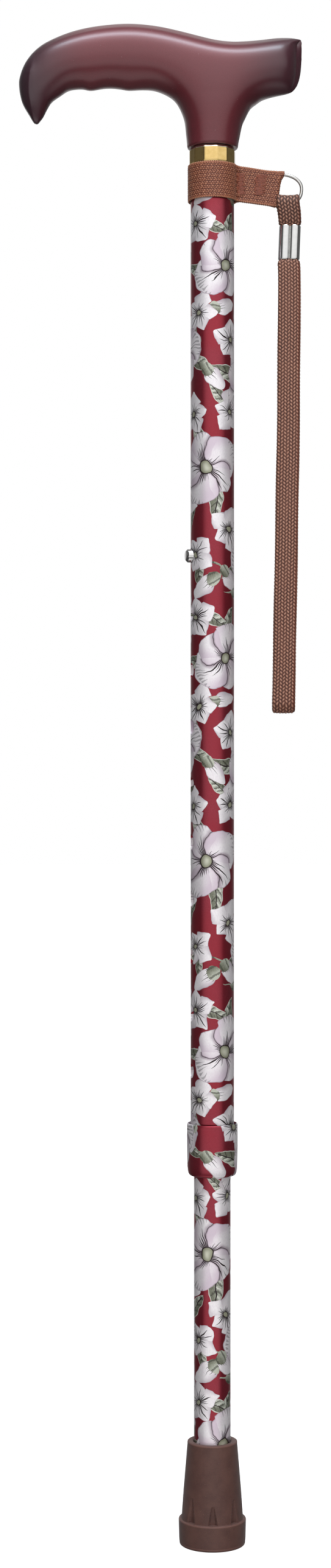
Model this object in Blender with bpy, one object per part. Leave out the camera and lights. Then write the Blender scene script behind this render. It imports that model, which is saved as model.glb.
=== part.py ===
# Height-adjustable walking cane with a derby handle and a wrist strap.
#
# Frame: +Z up along the shaft, origin on the shaft's axis at the underside of
# the rubber tip. The handle's nose points to -X and the wrist strap hangs on
# the +X side. Metres. The cane stands at its shortest setting.
import math

import bmesh
import bpy
import numpy as np
from mathutils import Matrix, Vector

for old in list(bpy.data.objects):
    bpy.data.objects.remove(old, do_unlink=True)

MM = 0.001

# ---------------------------------------------------------------- dimensions
GAP = 0.3  # clearance kept between touching pieces, mm
SIDES = 40  # facets of the turned pieces

# telescoping tubes
UPPER_R, UPPER_BORE = 9.5, 8.3
LOWER_R, LOWER_BORE = 8.0, 6.9
UPPER_Z = (171.5, 602.3)
LOWER_Z = (7.8, 478.0)

# adjustment holes and the snap button
HOLE_PITCH = 25.0
HOLES = 10
BUTTON_Z = 432.0  # the uppermost hole, with the button in it
HOLE_R = 3.25
BUTTON_R = 2.95
BUTTON_ANGLE = math.radians(180 + 12)  # seen from above, from +X
BUTTON_FACE = 12.0  # its outer face, from the shaft's axis
BUTTON_TRAVEL = 4.2

# rubber tip
TIP_FOOT_R = 14.7
TIP_FOOT_H = 11.3
TIP_TOP_R = 10.85
TIP_H = 45.0
TIP_BORE_R = LOWER_R + GAP
TIP_FLOOR = 6.0
FLUTES = 8

# locking collar
COLLAR_R = 11.1
COLLAR_Z = (161.1, 184.0)
SLEEVE_R = 10.25
SLEEVE_Z = (172.4, 179.3)

# handle
HANDLE_FOOT_Z = 610.5
SPIGOT_R = 8.0
SPIGOT_Z = (574.0, 634.2)

# faceted collar under the handle
FACETS = 12
FACET_R = 10.14
FACET_TURN = math.radians(9.4)  # first corner, from the front
GOLD_Z = (602.7, 610.2)

# strap band and its flag
BAND_Z = (587.2, 602.4)
BAND_R = 10.5
FLAG_DROOP = math.radians(8.7)

# D-ring: its straight bar's middle, lean, half height and depth
RING_C = (27.9, 0.0, 592.85)
RING_LEAN = math.radians(6.0)
RING_HALF = 6.6
RING_DEPTH = 11.1
RING_CORNER = 1.2
RING_POWER = 2.4
WIRE_R = 0.725
EYE_T = 5.5  # where the cord hangs, from the bar

# wrist cord
CORD_WIDTH = 9.3
CORD_THICK = 2.4
CLAMP_Z = (561.7, 576.6)
CORD_FOLD_Z = 364.6  # middle of the cord at its lowest point


# ------------------------------------------------------------------- helpers
def finish(name, colour, rough, metal):
    made = bpy.data.materials.new(name)
    made.use_nodes = True
    shader = made.node_tree.nodes["Principled BSDF"]
    shader.inputs["Base Color"].default_value = (*colour, 1)
    shader.inputs["Roughness"].default_value = rough
    shader.inputs["Metallic"].default_value = metal
    return made


def empty(name, place, turn=(0, 0, 0), parent=None):
    made = bpy.data.objects.new(name, None)
    made.empty_display_size = 0.01
    made.location = place
    made.rotation_euler = turn
    bpy.context.scene.collection.objects.link(made)
    if parent is not None:
        made.parent = parent
    return made


def place(name, bm, look=None, location=(0, 0, 0), turn=(0, 0, 0), parent=None, smooth=30):
    """An object of this bmesh, whose points are in millimetres."""
    bmesh.ops.remove_doubles(bm, verts=bm.verts, dist=1e-5)
    bmesh.ops.recalc_face_normals(bm, faces=bm.faces)
    bm.transform(Matrix.Scale(MM, 4))
    mesh = bpy.data.meshes.new(name)
    bm.to_mesh(mesh)
    bm.free()
    if look is not None:
        mesh.materials.append(look)
    mesh.shade_smooth()
    mesh.set_sharp_from_angle(angle=math.radians(smooth))
    made = bpy.data.objects.new(name, mesh)
    made.location = location
    made.rotation_euler = turn
    bpy.context.scene.collection.objects.link(made)
    if parent is not None:
        made.parent = parent
    return made


def turned(profile, sides=SIDES, start=0.0):
    """A bmesh turned round Z from (radius, height) points. A profile that starts and ends on the axis is left open there."""
    bm = bmesh.new()
    points = [
        bm.verts.new((r * math.cos(start), r * math.sin(start), z)) for r, z in profile
    ]
    pairs = list(zip(points, points[1:]))
    if profile[0][0] > 0 or profile[-1][0] > 0:
        pairs.append((points[-1], points[0]))
    edges = [bm.edges.new(pair) for pair in pairs]
    bmesh.ops.spin(
        bm,
        geom=points + edges,
        axis=(0, 0, 1),
        cent=(0, 0, 0),
        angle=2 * math.pi,
        steps=sides,
        use_merge=True,
    )
    bmesh.ops.remove_doubles(bm, verts=bm.verts, dist=1e-5)
    return bm


def prism(outline, depth, back=None):
    """An outline in the XZ plane, extruded in Y from -depth to +depth (or from back to depth)."""
    bm = bmesh.new()
    low = -depth if back is None else back
    face = bm.faces.new([bm.verts.new((x, low, z)) for x, z in outline])
    made = bmesh.ops.extrude_face_region(bm, geom=[face])
    moved = [v for v in made["geom"] if isinstance(v, bmesh.types.BMVert)]
    bmesh.ops.translate(bm, vec=(0, depth - low, 0), verts=moved)
    return bm


def loft(rings, ends=True):
    """A closed skin through rings of the same number of points."""
    bm = bmesh.new()
    made = [[bm.verts.new(p) for p in ring] for ring in rings]
    for one, two in zip(made, made[1:]):
        for i in range(len(one)):
            j = (i + 1) % len(one)
            bm.faces.new((one[i], one[j], two[j], two[i]))
    if ends:
        bm.faces.new(made[0])
        bm.faces.new(made[-1])
    return bm


def cut(target, cutter, how="DIFFERENCE"):
    """A Boolean that stays on its object. Its other half is a guide that isn't rendered."""
    cutter.hide_render = True
    cutter.display_type = "WIRE"
    step = target.modifiers.new(cutter.name, "BOOLEAN")
    step.operation = how
    step.solver = "EXACT"
    step.object = cutter
    return step


def rounded(corner, radius, start, end, steps=4):
    """Points on an arc round a centre, for a profile's corner."""
    return [
        (
            corner[0] + radius * math.cos(math.radians(start + (end - start) * k / steps)),
            corner[1] + radius * math.sin(math.radians(start + (end - start) * k / steps)),
        )
        for k in range(steps + 1)
    ]


def smooth_path(points, count):
    """count points spread evenly along a Catmull-Rom curve through these."""
    p = np.array(points, float)
    p = np.vstack([2 * p[0] - p[1], p, 2 * p[-1] - p[-2]])
    fine = []
    for i in range(1, len(p) - 2):
        for t in np.linspace(0, 1, 24, endpoint=False):
            fine.append(
                0.5
                * (
                    2 * p[i]
                    + (p[i + 1] - p[i - 1]) * t
                    + (2 * p[i - 1] - 5 * p[i] + 4 * p[i + 1] - p[i + 2]) * t**2
                    + (3 * p[i] - p[i - 1] - 3 * p[i + 1] + p[i + 2]) * t**3
                )
            )
    fine = np.array([*fine, p[-2]])
    along = np.concatenate([[0], np.cumsum(np.linalg.norm(np.diff(fine, axis=0), axis=1))])
    at = np.linspace(0, along[-1], count)
    return np.stack([np.interp(at, along, fine[:, k]) for k in range(3)], axis=1)


def flat_sweep(path, width, thick, points=12):
    """Rings of a flat cord along a path in planes that hold X. width and thick are full sizes at each point of the path."""
    rings = []
    for i, c in enumerate(path):
        ahead = path[min(i + 1, len(path) - 1)] - path[max(i - 1, 0)]
        side = np.array([1.0, 0.0, 0.0])
        out = np.cross(side, ahead)
        out /= np.linalg.norm(out)
        ring = []
        for k in range(points):
            a = 2 * math.pi * (k + 0.5) / points
            u = math.copysign(abs(math.cos(a)) ** 0.6, math.cos(a)) * width[i] / 2
            v = math.copysign(abs(math.sin(a)) ** 0.8, math.sin(a)) * thick[i] / 2
            ring.append(c + side * u + out * v)
        rings.append(ring)
    return rings


# ------------------------------------------------------------------ finishes
rubber = finish("tip_rubber", (0.085, 0.05, 0.042), 0.75, 0.0)
steel = finish("plain_steel", (0.55, 0.55, 0.57), 0.35, 1.0)
print_low = finish("lower_tube_print", (0.30, 0.06, 0.10), 0.32, 0.6)
print_up = finish("upper_tube_print", (0.32, 0.07, 0.11), 0.32, 0.6)
print_ring = finish("lock_collar_print", (0.32, 0.07, 0.11), 0.32, 0.6)
nylon = finish("white_nylon", (0.80, 0.80, 0.77), 0.5, 0.0)
bush_black = finish("black_nylon", (0.03, 0.03, 0.03), 0.5, 0.0)
sleeve_black = finish("sleeve_nylon", (0.03, 0.03, 0.03), 0.5, 0.0)
spring_steel = finish("spring_steel", (0.42, 0.43, 0.46), 0.3, 1.0)
button_steel = finish("button_steel", (0.62, 0.62, 0.64), 0.22, 1.0)
screw_steel = finish("zinc_screw", (0.6, 0.6, 0.58), 0.35, 1.0)
plug_look = finish("grey_nylon", (0.25, 0.25, 0.26), 0.5, 0.0)
gold = finish("polished_gold", (0.86, 0.65, 0.30), 0.14, 1.0)
pearl = finish("pearl_wine", (0.19, 0.08, 0.10), 0.36, 0.2)
webbing = finish("rust_webbing", (0.34, 0.14, 0.08), 0.8, 0.0)
nickel = finish("nickel_wire", (0.75, 0.75, 0.76), 0.15, 1.0)
sleeve = finish("nickel_sleeve", (0.75, 0.75, 0.76), 0.18, 1.0)
braid = finish("brown_braid", (0.26, 0.14, 0.11), 0.8, 0.0)
braid_eye = finish("brown_braid_eye", (0.26, 0.14, 0.11), 0.8, 0.0)

# ------------------------------------------------------------- lower shaft
lower = empty("lower_shaft", (0, 0, 0))

# Rubber tip: a flared foot with ring treads, a tapering body and a socket.
cone_low = 13.6
tip = place(
    "tip",
    turned(
        [
            (0, 0),
            (4.5, 0),
            (4.8, 1.6),
            (6.2, 1.6),
            (6.5, 0),
            (9.0, 0),
            (9.3, 1.6),
            (10.7, 1.6),
            (11.0, 0),
            *rounded((13.1, 1.6), 1.6, 270, 360, 3),
            (TIP_FOOT_R, TIP_FOOT_H - 0.6),
            (TIP_FOOT_R - 0.5, TIP_FOOT_H),
            (cone_low, TIP_FOOT_H),
            (TIP_TOP_R, TIP_H - 0.9),
            (TIP_TOP_R - 0.5, TIP_H - 0.2),
            (TIP_TOP_R - 1.1, TIP_H),
            (TIP_BORE_R + 0.3, TIP_H),
            (TIP_BORE_R, TIP_H - 0.5),
            (TIP_BORE_R, TIP_FLOOR),
            (0, TIP_FLOOR),
        ]
    ),
    rubber,
    parent=lower,
)

# The flutes run up from the foot ring and die out in the cone.
flutes = bmesh.new()
for k in range(FLUTES):
    around = 2 * math.pi * k / FLUTES
    wedge = prism([(cone_low - 1.5, 11.2), (17.0, 11.2), (17.0, 24.0), (cone_low - 0.55, 18.8)], 1.35)
    wedge.transform(Matrix.Rotation(around, 4, "Z"))
    part = bpy.data.meshes.new("flute")
    wedge.to_mesh(part)
    wedge.free()
    flutes.from_mesh(part)
    bpy.data.meshes.remove(part)
cut(tip, place("tip_flutes", flutes, parent=lower))

place(
    "tip_washer",
    turned([(0, TIP_FLOOR + GAP), (7.9, TIP_FLOOR + GAP), (7.9, 7.5), (0, 7.5)]),
    steel,
    parent=lower,
)

lower_tube = place(
    "lower_tube",
    turned(
        [
            (LOWER_BORE, LOWER_Z[0]),
            (LOWER_R - 0.3, LOWER_Z[0]),
            (LOWER_R, LOWER_Z[0] + 0.3),
            (LOWER_R, LOWER_Z[1]),
            (LOWER_BORE, LOWER_Z[1]),
        ]
    ),
    print_low,
    parent=lower,
)

outward = Vector((math.cos(BUTTON_ANGLE), math.sin(BUTTON_ANGLE), 0))
# Turns a shape made along +Z so that it points out of the button's hole.
ALONG = Matrix.Rotation(BUTTON_ANGLE, 4, "Z") @ Matrix.Rotation(math.pi / 2, 4, "Y")


def hole_cutter(name, heights, radius, low, high, parent):
    bm = bmesh.new()
    for z in heights:
        rod = turned([(0, low), (radius, low), (radius, high), (0, high)], 20)
        rod.transform(Matrix.Translation((0, 0, z)) @ ALONG)
        part = bpy.data.meshes.new("hole")
        rod.to_mesh(part)
        rod.free()
        bm.from_mesh(part)
        bpy.data.meshes.remove(part)
    return place(name, bm, parent=parent)


cut(lower_tube, hole_cutter("button_hole", [BUTTON_Z], HOLE_R, 4.0, 12.0, lower))

# Bush on the tube's top end: a flange that slides in the upper tube's bore.
place(
    "guide_bush",
    turned(
        [
            (5.2, LOWER_Z[1] - 12),
            (LOWER_BORE - 0.25, LOWER_Z[1] - 12),
            (LOWER_BORE - 0.25, LOWER_Z[1] + GAP),
            (UPPER_BORE - 0.15, LOWER_Z[1] + GAP),
            (UPPER_BORE - 0.15, LOWER_Z[1] + 3.0),
            (UPPER_BORE - 0.7, LOWER_Z[1] + 3.6),
            (5.2, LOWER_Z[1] + 3.6),
        ]
    ),
    bush_black,
    parent=lower,
)

# Leaf spring: a strip bent into a V, in the plane of the button's axis.
LEAF = 0.6


def strip(line, thick):
    """The outline of a bent strip: its middle line, thickened both ways."""
    p = np.array(line, float)
    ahead = np.gradient(p, axis=0)
    side = np.stack([-ahead[:, 1], ahead[:, 0]], 1)
    side /= np.linalg.norm(side, axis=1)[:, None]
    return [tuple(q) for q in p + side * thick / 2] + [
        tuple(q) for q in (p - side * thick / 2)[::-1]
    ]


bend = [
    (-0.8 + 2.2 * math.cos(math.radians(a)), 398.0 + 2.2 * math.sin(math.radians(a)))
    for a in range(0, -181, -20)
]
leaf_line = [
    (4.05, 440.0),
    (4.05, 436.0),
    (4.05, 432.0),
    (4.05, 427.0),
    (3.7, 422.0),
    (1.6, 403.0),
    *bend,
    (-3.3, 403.0),
    (-5.2, 420.0),
    (-5.5, 430.0),
    (-5.4, 438.0),
]
leaf = prism(strip(leaf_line, LEAF), 3.4)
leaf.transform(Matrix.Rotation(BUTTON_ANGLE, 4, "Z"))
place("button_spring", leaf, spring_steel, parent=lower)

# Snap button: a domed-edge stud with a flange inside the tube, on its own axis.
button_axis = empty("button_axis", (0, 0, BUTTON_Z * MM), parent=lower)
button = turned(
    [
        (0, 4.7),
        (3.7, 4.7),
        (3.7, 5.35),
        (BUTTON_R, 5.35),
        (BUTTON_R, BUTTON_FACE - 0.9),
        (BUTTON_R - 0.25, BUTTON_FACE - 0.35),
        (BUTTON_R - 0.75, BUTTON_FACE - 0.05),
        (BUTTON_R - 1.2, BUTTON_FACE),
        (0, BUTTON_FACE),
    ],
    24,
)
button.transform(ALONG)
place("snap_button", button, button_steel, parent=button_axis)

# ------------------------------------------------------------- upper shaft
upper = empty("upper_shaft", (0, 0, 0))

upper_tube = place(
    "upper_tube",
    turned(
        [
            (UPPER_BORE, UPPER_Z[0]),
            (UPPER_R, UPPER_Z[0]),
            (UPPER_R, UPPER_Z[1]),
            (UPPER_BORE, UPPER_Z[1]),
        ]
    ),
    print_up,
    parent=upper,
)
hole_heights = [BUTTON_Z - HOLE_PITCH * k for k in range(HOLES)]
cut(upper_tube, hole_cutter("adjustment_holes", hole_heights, HOLE_R, 5.0, 12.0, upper))

# Split cone that the collar squeezes onto the lower tube.
collet_axis = empty("collet_axis", (0, 0, COLLAR_Z[0] * MM), parent=upper)
base = COLLAR_Z[0]
collet = place(
    "collet",
    turned(
        [
            (8.2, 163.9 - base),
            (8.65, 163.9 - base),
            (9.5, 168.2 - base),
            (9.5, 171.2 - base),
            (8.2, 171.2 - base),
        ]
    ),
    nylon,
    parent=collet_axis,
)
slit = prism([(7.0, -1.0), (11.0, -1.0), (11.0, 12.0), (7.0, 12.0)], 0.6)
cut(collet, place("collet_slit", slit, parent=collet_axis))

collar_axis = empty("collar_axis", (0, 0, 0), parent=collet_axis)
top = COLLAR_Z[1] - base
place(
    "lock_collar",
    turned(
        [
            (LOWER_R + 0.35, 0.4),
            (LOWER_R + 0.75, 0.0),
            *rounded((COLLAR_R - 2.6, 2.6), 2.6, 270, 360, 4),
            (COLLAR_R, top - 0.5),
            (COLLAR_R - 0.5, top),
            (UPPER_R + 0.65, top),
            (UPPER_R + GAP, top - 0.35),
            (UPPER_R + GAP, 182.2 - base),
            (SLEEVE_R + 0.2, 181.8 - base),
            (SLEEVE_R + 0.2, 171.6 - base),
            (UPPER_R + GAP, 170.9 - base),
            (UPPER_R + GAP, 167.8 - base),
            (8.98, 163.4 - base),
            (LOWER_R + 0.35, 163.0 - base),
        ]
    ),
    print_ring,
    parent=collar_axis,
)

# The sleeve on the upper tube's end that carries the collar's thread.
place(
    "threaded_sleeve",
    turned(
        [
            (UPPER_R + 0.12, SLEEVE_Z[0]),
            (SLEEVE_R - 0.3, SLEEVE_Z[0]),
            (SLEEVE_R, SLEEVE_Z[0] + 0.3),
            (SLEEVE_R, SLEEVE_Z[1] - 0.3),
            (SLEEVE_R - 0.3, SLEEVE_Z[1]),
            (UPPER_R + 0.12, SLEEVE_Z[1]),
        ]
    ),
    sleeve_black,
    parent=upper,
)

# --------------------------------------------------------- handle and fixing
place(
    "handle_plug",
    turned(
        [
            (5.0, SPIGOT_Z[0]),
            (SPIGOT_R - 0.5, SPIGOT_Z[0]),
            (SPIGOT_R, SPIGOT_Z[0] + 1.5),
            (SPIGOT_R, SPIGOT_Z[1]),
            (2.9, SPIGOT_Z[1]),
            (2.9, 622.0),
            (5.0, 622.0),
        ]
    ),
    plug_look,
    parent=upper,
)
place(
    "handle_screw",
    turned(
        [
            (0, 618.6),
            (3.4, 618.6),
            (4.3, 619.4),
            (4.3, 621.7),
            (2.4, 621.7),
            (2.4, 648.5),
            (0, 652.0),
        ],
        24,
    ),
    screw_steel,
    parent=upper,
)

gold_ring = place(
    "gold_collar",
    turned(
        [
            (FACET_R - 0.75, GOLD_Z[0]),
            (FACET_R, GOLD_Z[0] + 0.5),
            (FACET_R, GOLD_Z[1] - 1.1),
            (FACET_R - 1.0, GOLD_Z[1]),
            (8.0, GOLD_Z[1]),
            (8.0, GOLD_Z[0]),
        ],
        FACETS,
        -math.pi / 2 + FACET_TURN,
    ),
    gold,
    parent=upper,
    smooth=5,
)
cut(
    gold_ring,
    place(
        "gold_collar_bore",
        turned([(0, 600), (SPIGOT_R + GAP, 600), (SPIGOT_R + GAP, 613), (0, 613)]),
        parent=upper,
    ),
)

# The handle is its outline seen from the side, swollen to a round section: the
# skin is where a half thickness, grown inward from the outline, equals |y|.
HANDLE_OUTLINE = [
    (-76.95, 621.1), (-79.9, 624.8), (-82.7, 629.4), (-84.05, 634.05), (-84.5, 638.7),
    (-84.2, 641.4), (-83.1, 645.1), (-81.3, 648.8), (-78.5, 652.5), (-74.4, 656.0),
    (-69.75, 658.5), (-64.2, 660.8), (-58.7, 662.5), (-51.3, 664.0), (-41.1, 665.05),
    (-32.8, 665.05), (-23.6, 664.0), (-14.4, 662.0), (-5.15, 659.6), (1.3, 658.05),
    (7.8, 657.3), (13.3, 657.4), (20.7, 658.05), (28.1, 659.0), (34.5, 659.2),
    (37.8, 658.8), (39.0, 657.9), (39.15, 652.5), (38.7, 644.2), (37.5, 638.7),
    (35.5, 635.4), (33.15, 634.05), (27.15, 632.9), (22.1, 631.5), (19.3, 629.7),
    (16.5, 627.4), (14.2, 623.0), (13.0, 620.2), (11.9, 615.0), (11.2, 611.0),
    (11.0, 605.0), (11.0, 595.0), (11.0, 580.0), (-11.0, 580.0), (-11.0, 595.0),
    (-11.0, 605.0), (-11.0, 611.0), (-11.5, 616.5), (-12.25, 622.5), (-14.4, 628.05),
    (-17.1, 631.7), (-21.3, 634.2), (-25.9, 635.7), (-31.0, 635.9), (-36.5, 635.6),
    (-40.2, 636.2), (-43.9, 636.6), (-47.6, 636.45), (-53.1, 635.5), (-56.8, 636.2),
    (-60.5, 636.0), (-63.3, 635.3), (-66.5, 633.1), (-70.2, 630.4), (-72.3, 627.1),
    (-73.9, 623.9), (-75.3, 622.05),
]
GRIP_HALF = 12.9  # the most that the grip swells to each side
ROUNDING_TRIM = 0.5  # how far the outline stands outside the rounded top and underside
FIELD_STEP = 0.6
FIELD_LOW = np.array([-92.0, 576.0])
FIELD_SHAPE = (234, 160)
NET_STEP = 2.6


def closed_spline(points, between):
    """A closed Catmull-Rom curve through these points."""
    p = np.array(points, float)
    before, after, later = np.roll(p, 1, 0), np.roll(p, -1, 0), np.roll(p, -2, 0)
    t = np.linspace(0, 1, between, endpoint=False)[None, :, None]
    a, b, c, d = (q[:, None, :] for q in (before, p, after, later))
    curve = 0.5 * (2 * b + (c - a) * t + (2 * a - 5 * b + 4 * c - d) * t**2 + (3 * b - a - 3 * c + d) * t**3)
    return curve.reshape(-1, 2)


def signed_distance(points, outline):
    """Distance from each point to a closed outline, positive inside it."""
    best = np.full(len(points), 1e9)
    inside = np.zeros(len(points), bool)
    for a, b in zip(outline, np.roll(outline, -1, 0)):
        edge = b - a
        share = np.clip(((points - a) @ edge) / (edge @ edge), 0, 1)
        best = np.minimum(best, np.linalg.norm(points - a - share[:, None] * edge, axis=1))
        crosses = (a[1] > points[:, 1]) != (b[1] > points[:, 1])
        if edge[1] != 0:
            at = a[0] + (points[:, 1] - a[1]) / edge[1] * edge[0]
            inside ^= crosses & (points[:, 0] < at)
    return np.where(inside, best, -best)


def handle_outline(between):
    """The outline as a smooth closed line, drawn in at the top and the underside."""
    line = closed_spline(HANDLE_OUTLINE, between)
    ahead = np.roll(line, -1, 0) - np.roll(line, 1, 0)
    ahead /= np.linalg.norm(ahead, axis=1)[:, None]
    area = np.sum(line[:, 0] * np.roll(line[:, 1], -1) - np.roll(line[:, 0], -1) * line[:, 1])
    outward_z = -ahead[:, 0] * np.sign(area)
    line[:, 1] -= ROUNDING_TRIM * outward_z
    return line


def swollen_field():
    """On a grid over the outline: the square of the half thickness, grown inward as a membrane under even pressure stands over it, and negative outside."""
    xs = FIELD_LOW[0] + FIELD_STEP * np.arange(FIELD_SHAPE[0])
    zs = FIELD_LOW[1] + FIELD_STEP * np.arange(FIELD_SHAPE[1])
    grid = np.stack(np.meshgrid(xs, zs, indexing="ij"), -1).reshape(-1, 2)
    dist = signed_distance(grid, handle_outline(4)).reshape(FIELD_SHAPE)
    inside = dist > 0.02
    arms, live = [], []
    for axis, way in ((0, 1), (0, -1), (1, 1), (1, -1)):
        other = np.roll(dist, -way, axis)
        arm = np.where(other > 0.02, 1.0, np.clip(dist / (dist - other + 1e-9), 0.08, 1.0))
        arms.append(arm * FIELD_STEP)
        live.append(other > 0.02)
    weights, total = [], 0
    for pair in ((0, 1), (2, 3)):
        for one in pair:
            weight = 2 / (arms[pair[0]] + arms[pair[1]]) / arms[one]
            weights.append(np.where(live[one], weight, 0) * inside)
        total = total + 2 / (arms[pair[0]] * arms[pair[1]])
    u = np.where(inside, dist * 10, 0)
    # Red and black squares in turn, over-relaxed.
    odd = (np.add.outer(np.arange(FIELD_SHAPE[0]), np.arange(FIELD_SHAPE[1])) % 2).astype(bool)
    for turn in range(900):
        for half in (odd, ~odd):
            around = sum(
                w * np.roll(u, -way, axis)
                for w, (axis, way) in zip(weights, ((0, 1), (0, -1), (1, 1), (1, -1)))
            )
            u = np.where(inside & half, u + 1.85 * ((2 + around) / total - u), u)
    # The slope at the edge, carried outward, lets the field go on below zero.
    known = dist > 0.25
    slope = np.where(known, u / np.maximum(dist, 0.25), 0)
    for turn in range(40):
        count = sum(np.roll(known, way, axis) for axis, way in ((0, 1), (0, -1), (1, 1), (1, -1)))
        total_slope = sum(
            np.roll(np.where(known, slope, 0), way, axis)
            for axis, way in ((0, 1), (0, -1), (1, 1), (1, -1))
        )
        fill = ~known & (count > 0)
        slope = np.where(fill, total_slope / np.maximum(count, 1), slope)
        known = known | fill
    slope = np.where(known, slope, 10.0)
    return dist * slope


def limited(u):
    """Squares of half thicknesses, none beyond the grip's."""
    up = np.maximum(u, 0) / GRIP_HALF**2
    return np.where(u > 0, u / (1 + up**2.2) ** (1 / 2.2), u)


def field_at(field, x, z):
    fx = np.clip((x - FIELD_LOW[0]) / FIELD_STEP, 0, FIELD_SHAPE[0] - 1.001)
    fz = np.clip((z - FIELD_LOW[1]) / FIELD_STEP, 0, FIELD_SHAPE[1] - 1.001)
    i, j = fx.astype(int), fz.astype(int)
    a, b = fx - i, fz - j
    return (
        field[i, j] * (1 - a) * (1 - b)
        + field[i + 1, j] * a * (1 - b)
        + field[i, j + 1] * (1 - a) * b
        + field[i + 1, j + 1] * a * b
    )


def surface_net(value, low, high, step):
    """A closed quad skin where value(points) passes zero, each of its points drawn onto the surface itself."""
    counts = [int(math.ceil((h - l) / step)) + 1 for l, h in zip(low, high)]
    axes = [l + step * np.arange(n) for l, n in zip(low, counts)]
    grid = np.stack(np.meshgrid(*axes, indexing="ij"), -1)
    f = value(grid.reshape(-1, 3)).reshape(counts)
    sign = f > 0
    total = np.zeros((*[n - 1 for n in counts], 3))
    hits = np.zeros([n - 1 for n in counts])
    quads = []
    for axis in range(3):
        near = [slice(None)] * 3
        far = [slice(None)] * 3
        near[axis], far[axis] = slice(0, -1), slice(1, None)
        near, far = tuple(near), tuple(far)
        cross = sign[near] != sign[far]
        for i, j, k in np.argwhere(cross):
            cell = [i, j, k]
            ahead = cell.copy()
            ahead[axis] += 1
            a, b = f[i, j, k], f[tuple(ahead)]
            spot = grid[i, j, k] + (grid[tuple(ahead)] - grid[i, j, k]) * (a / (a - b))
            around = []
            u, v = [q for q in range(3) if q != axis]
            for du, dv in ((-1, -1), (0, -1), (0, 0), (-1, 0)):
                home = cell.copy()
                home[u] += du
                home[v] += dv
                around.append(tuple(home))
                total[tuple(home)] += spot
                hits[tuple(home)] += 1
            quads.append(around if (a > 0) == (axis != 1) else around[::-1])
    index = {tuple(c): n for n, c in enumerate(np.argwhere(hits > 0))}
    points = np.array([total[c] / hits[c] for c in index])
    for turn in range(6):
        here = value(points)
        e = 0.05
        slope = np.stack(
            [
                (value(points + e * np.eye(3)[k]) - value(points - e * np.eye(3)[k])) / (2 * e)
                for k in range(3)
            ],
            1,
        )
        move = slope * (here / np.maximum((slope**2).sum(1), 1.0))[:, None]
        size = np.linalg.norm(move, axis=1)[:, None]
        points = points - move * np.minimum(1, 0.35 * step / np.maximum(size, 1e-9))
    bm = bmesh.new()
    made = [bm.verts.new(p) for p in points]
    for quad in quads:
        bm.faces.new([made[index[c]] for c in quad])
    return bm


HANDLE_FIELD = limited(swollen_field())


def handle_value(points):
    skin = field_at(HANDLE_FIELD, points[:, 0], points[:, 2]) - points[:, 1] ** 2
    return np.minimum(skin, 20 * (points[:, 2] - 602.0))


handle = place(
    "handle",
    surface_net(handle_value, (-87.0, -16.1, 598.0), (43.0, 16.1, 668.0), NET_STEP),
    pearl,
    parent=upper,
    smooth=60,
)
below = bmesh.new()
bmesh.ops.create_cube(below, size=1)
below.transform(Matrix.Translation((0, 0, HANDLE_FOOT_Z - 15)) @ Matrix.Diagonal((60, 60, 30, 1)))
cut(handle, place("handle_foot_cut", below, parent=upper))
cut(
    handle,
    place(
        "handle_bore",
        turned(
            [
                (0, 600.0),
                (SPIGOT_R + GAP, 600.0),
                (SPIGOT_R + GAP, SPIGOT_Z[1] + GAP),
                (2.8, SPIGOT_Z[1] + GAP),
                (2.8, 652.6),
                (0, 653.2),
            ]
        ),
        parent=upper,
    ),
)

# --------------------------------------------------------------- strap band
band_axis = empty("band_axis", (0, 0, 594.8 * MM), parent=upper)
middle_z = 594.8
band = place(
    "strap_band",
    turned(
        [
            (UPPER_R + GAP, BAND_Z[0] - middle_z),
            (BAND_R, BAND_Z[0] - middle_z),
            (BAND_R, BAND_Z[1] - middle_z),
            (UPPER_R + GAP, BAND_Z[1] - middle_z),
        ]
    ),
    webbing,
    parent=band_axis,
)

# In the ring's own frame: s runs along its straight bar, t away from it.
ring_s = Vector((math.sin(RING_LEAN), 0, math.cos(RING_LEAN)))
ring_t = Vector((math.cos(RING_LEAN), 0, -math.sin(RING_LEAN)))
RING_MIDDLE = Vector(RING_C)


def in_ring(t, s, y=0.0):
    return RING_MIDDLE + ring_t * t + ring_s * s + Vector((0, y, 0))


# The flag: two layers of webbing sewn together, running to the end loop.
near_top, near_low = (10.0, 602.3), (10.0, 587.9)
far_top, far_low = in_ring(0.9, 5.6), in_ring(0.9, -5.6)
flag_outline = [
    (9.9, near_low[1] - middle_z),
    (24.0, 586.0 - middle_z),
    (far_low.x - 1.6, 586.3 - middle_z),
    (far_low.x, far_low.z - middle_z),
    (far_top.x, far_top.z - middle_z),
    (far_top.x - 1.8, 599.3 - middle_z),
    (24.0, 600.4 - middle_z),
    (9.9, near_top[1] - middle_z),
]
flag = place("strap_flag", prism(flag_outline, 1.3), parent=band_axis)
cut(band, flag, "UNION")
ring_place = (RING_MIDDLE - Vector((0, 0, middle_z))) * MM
loop = place(
    "strap_end_loop",
    turned([(0, -5.6), (2.1, -5.6), (2.1, 5.6), (0, 5.6)], 24),
    location=ring_place,
    turn=(0, RING_LEAN, 0),
    parent=band_axis,
)
cut(band, loop, "UNION")
cut(
    band,
    place(
        "strap_loop_bore",
        turned([(0, -9), (WIRE_R + GAP, -9), (WIRE_R + GAP, 9), (0, 9)], 16),
        location=ring_place,
        turn=(0, RING_LEAN, 0),
        parent=band_axis,
    ),
)
# Room above and below the loop for the ring's sides as it swings.
for sign, word in ((1, "above"), (-1, "below")):
    block = prism([(-1.25, 5.6 * sign), (6, 5.6 * sign), (6, 12 * sign), (-1.25, 12 * sign)], 4)
    cut(
        band,
        place(
            "room_" + word,
            block,
            location=ring_place,
            turn=(0, RING_LEAN, 0),
            parent=band_axis,
        ),
    )

# ------------------------------------------------------------------- D-ring
ring_axis = empty("ring_axis", tuple(ring_place), (0, RING_LEAN, 0), parent=band_axis)


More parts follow.
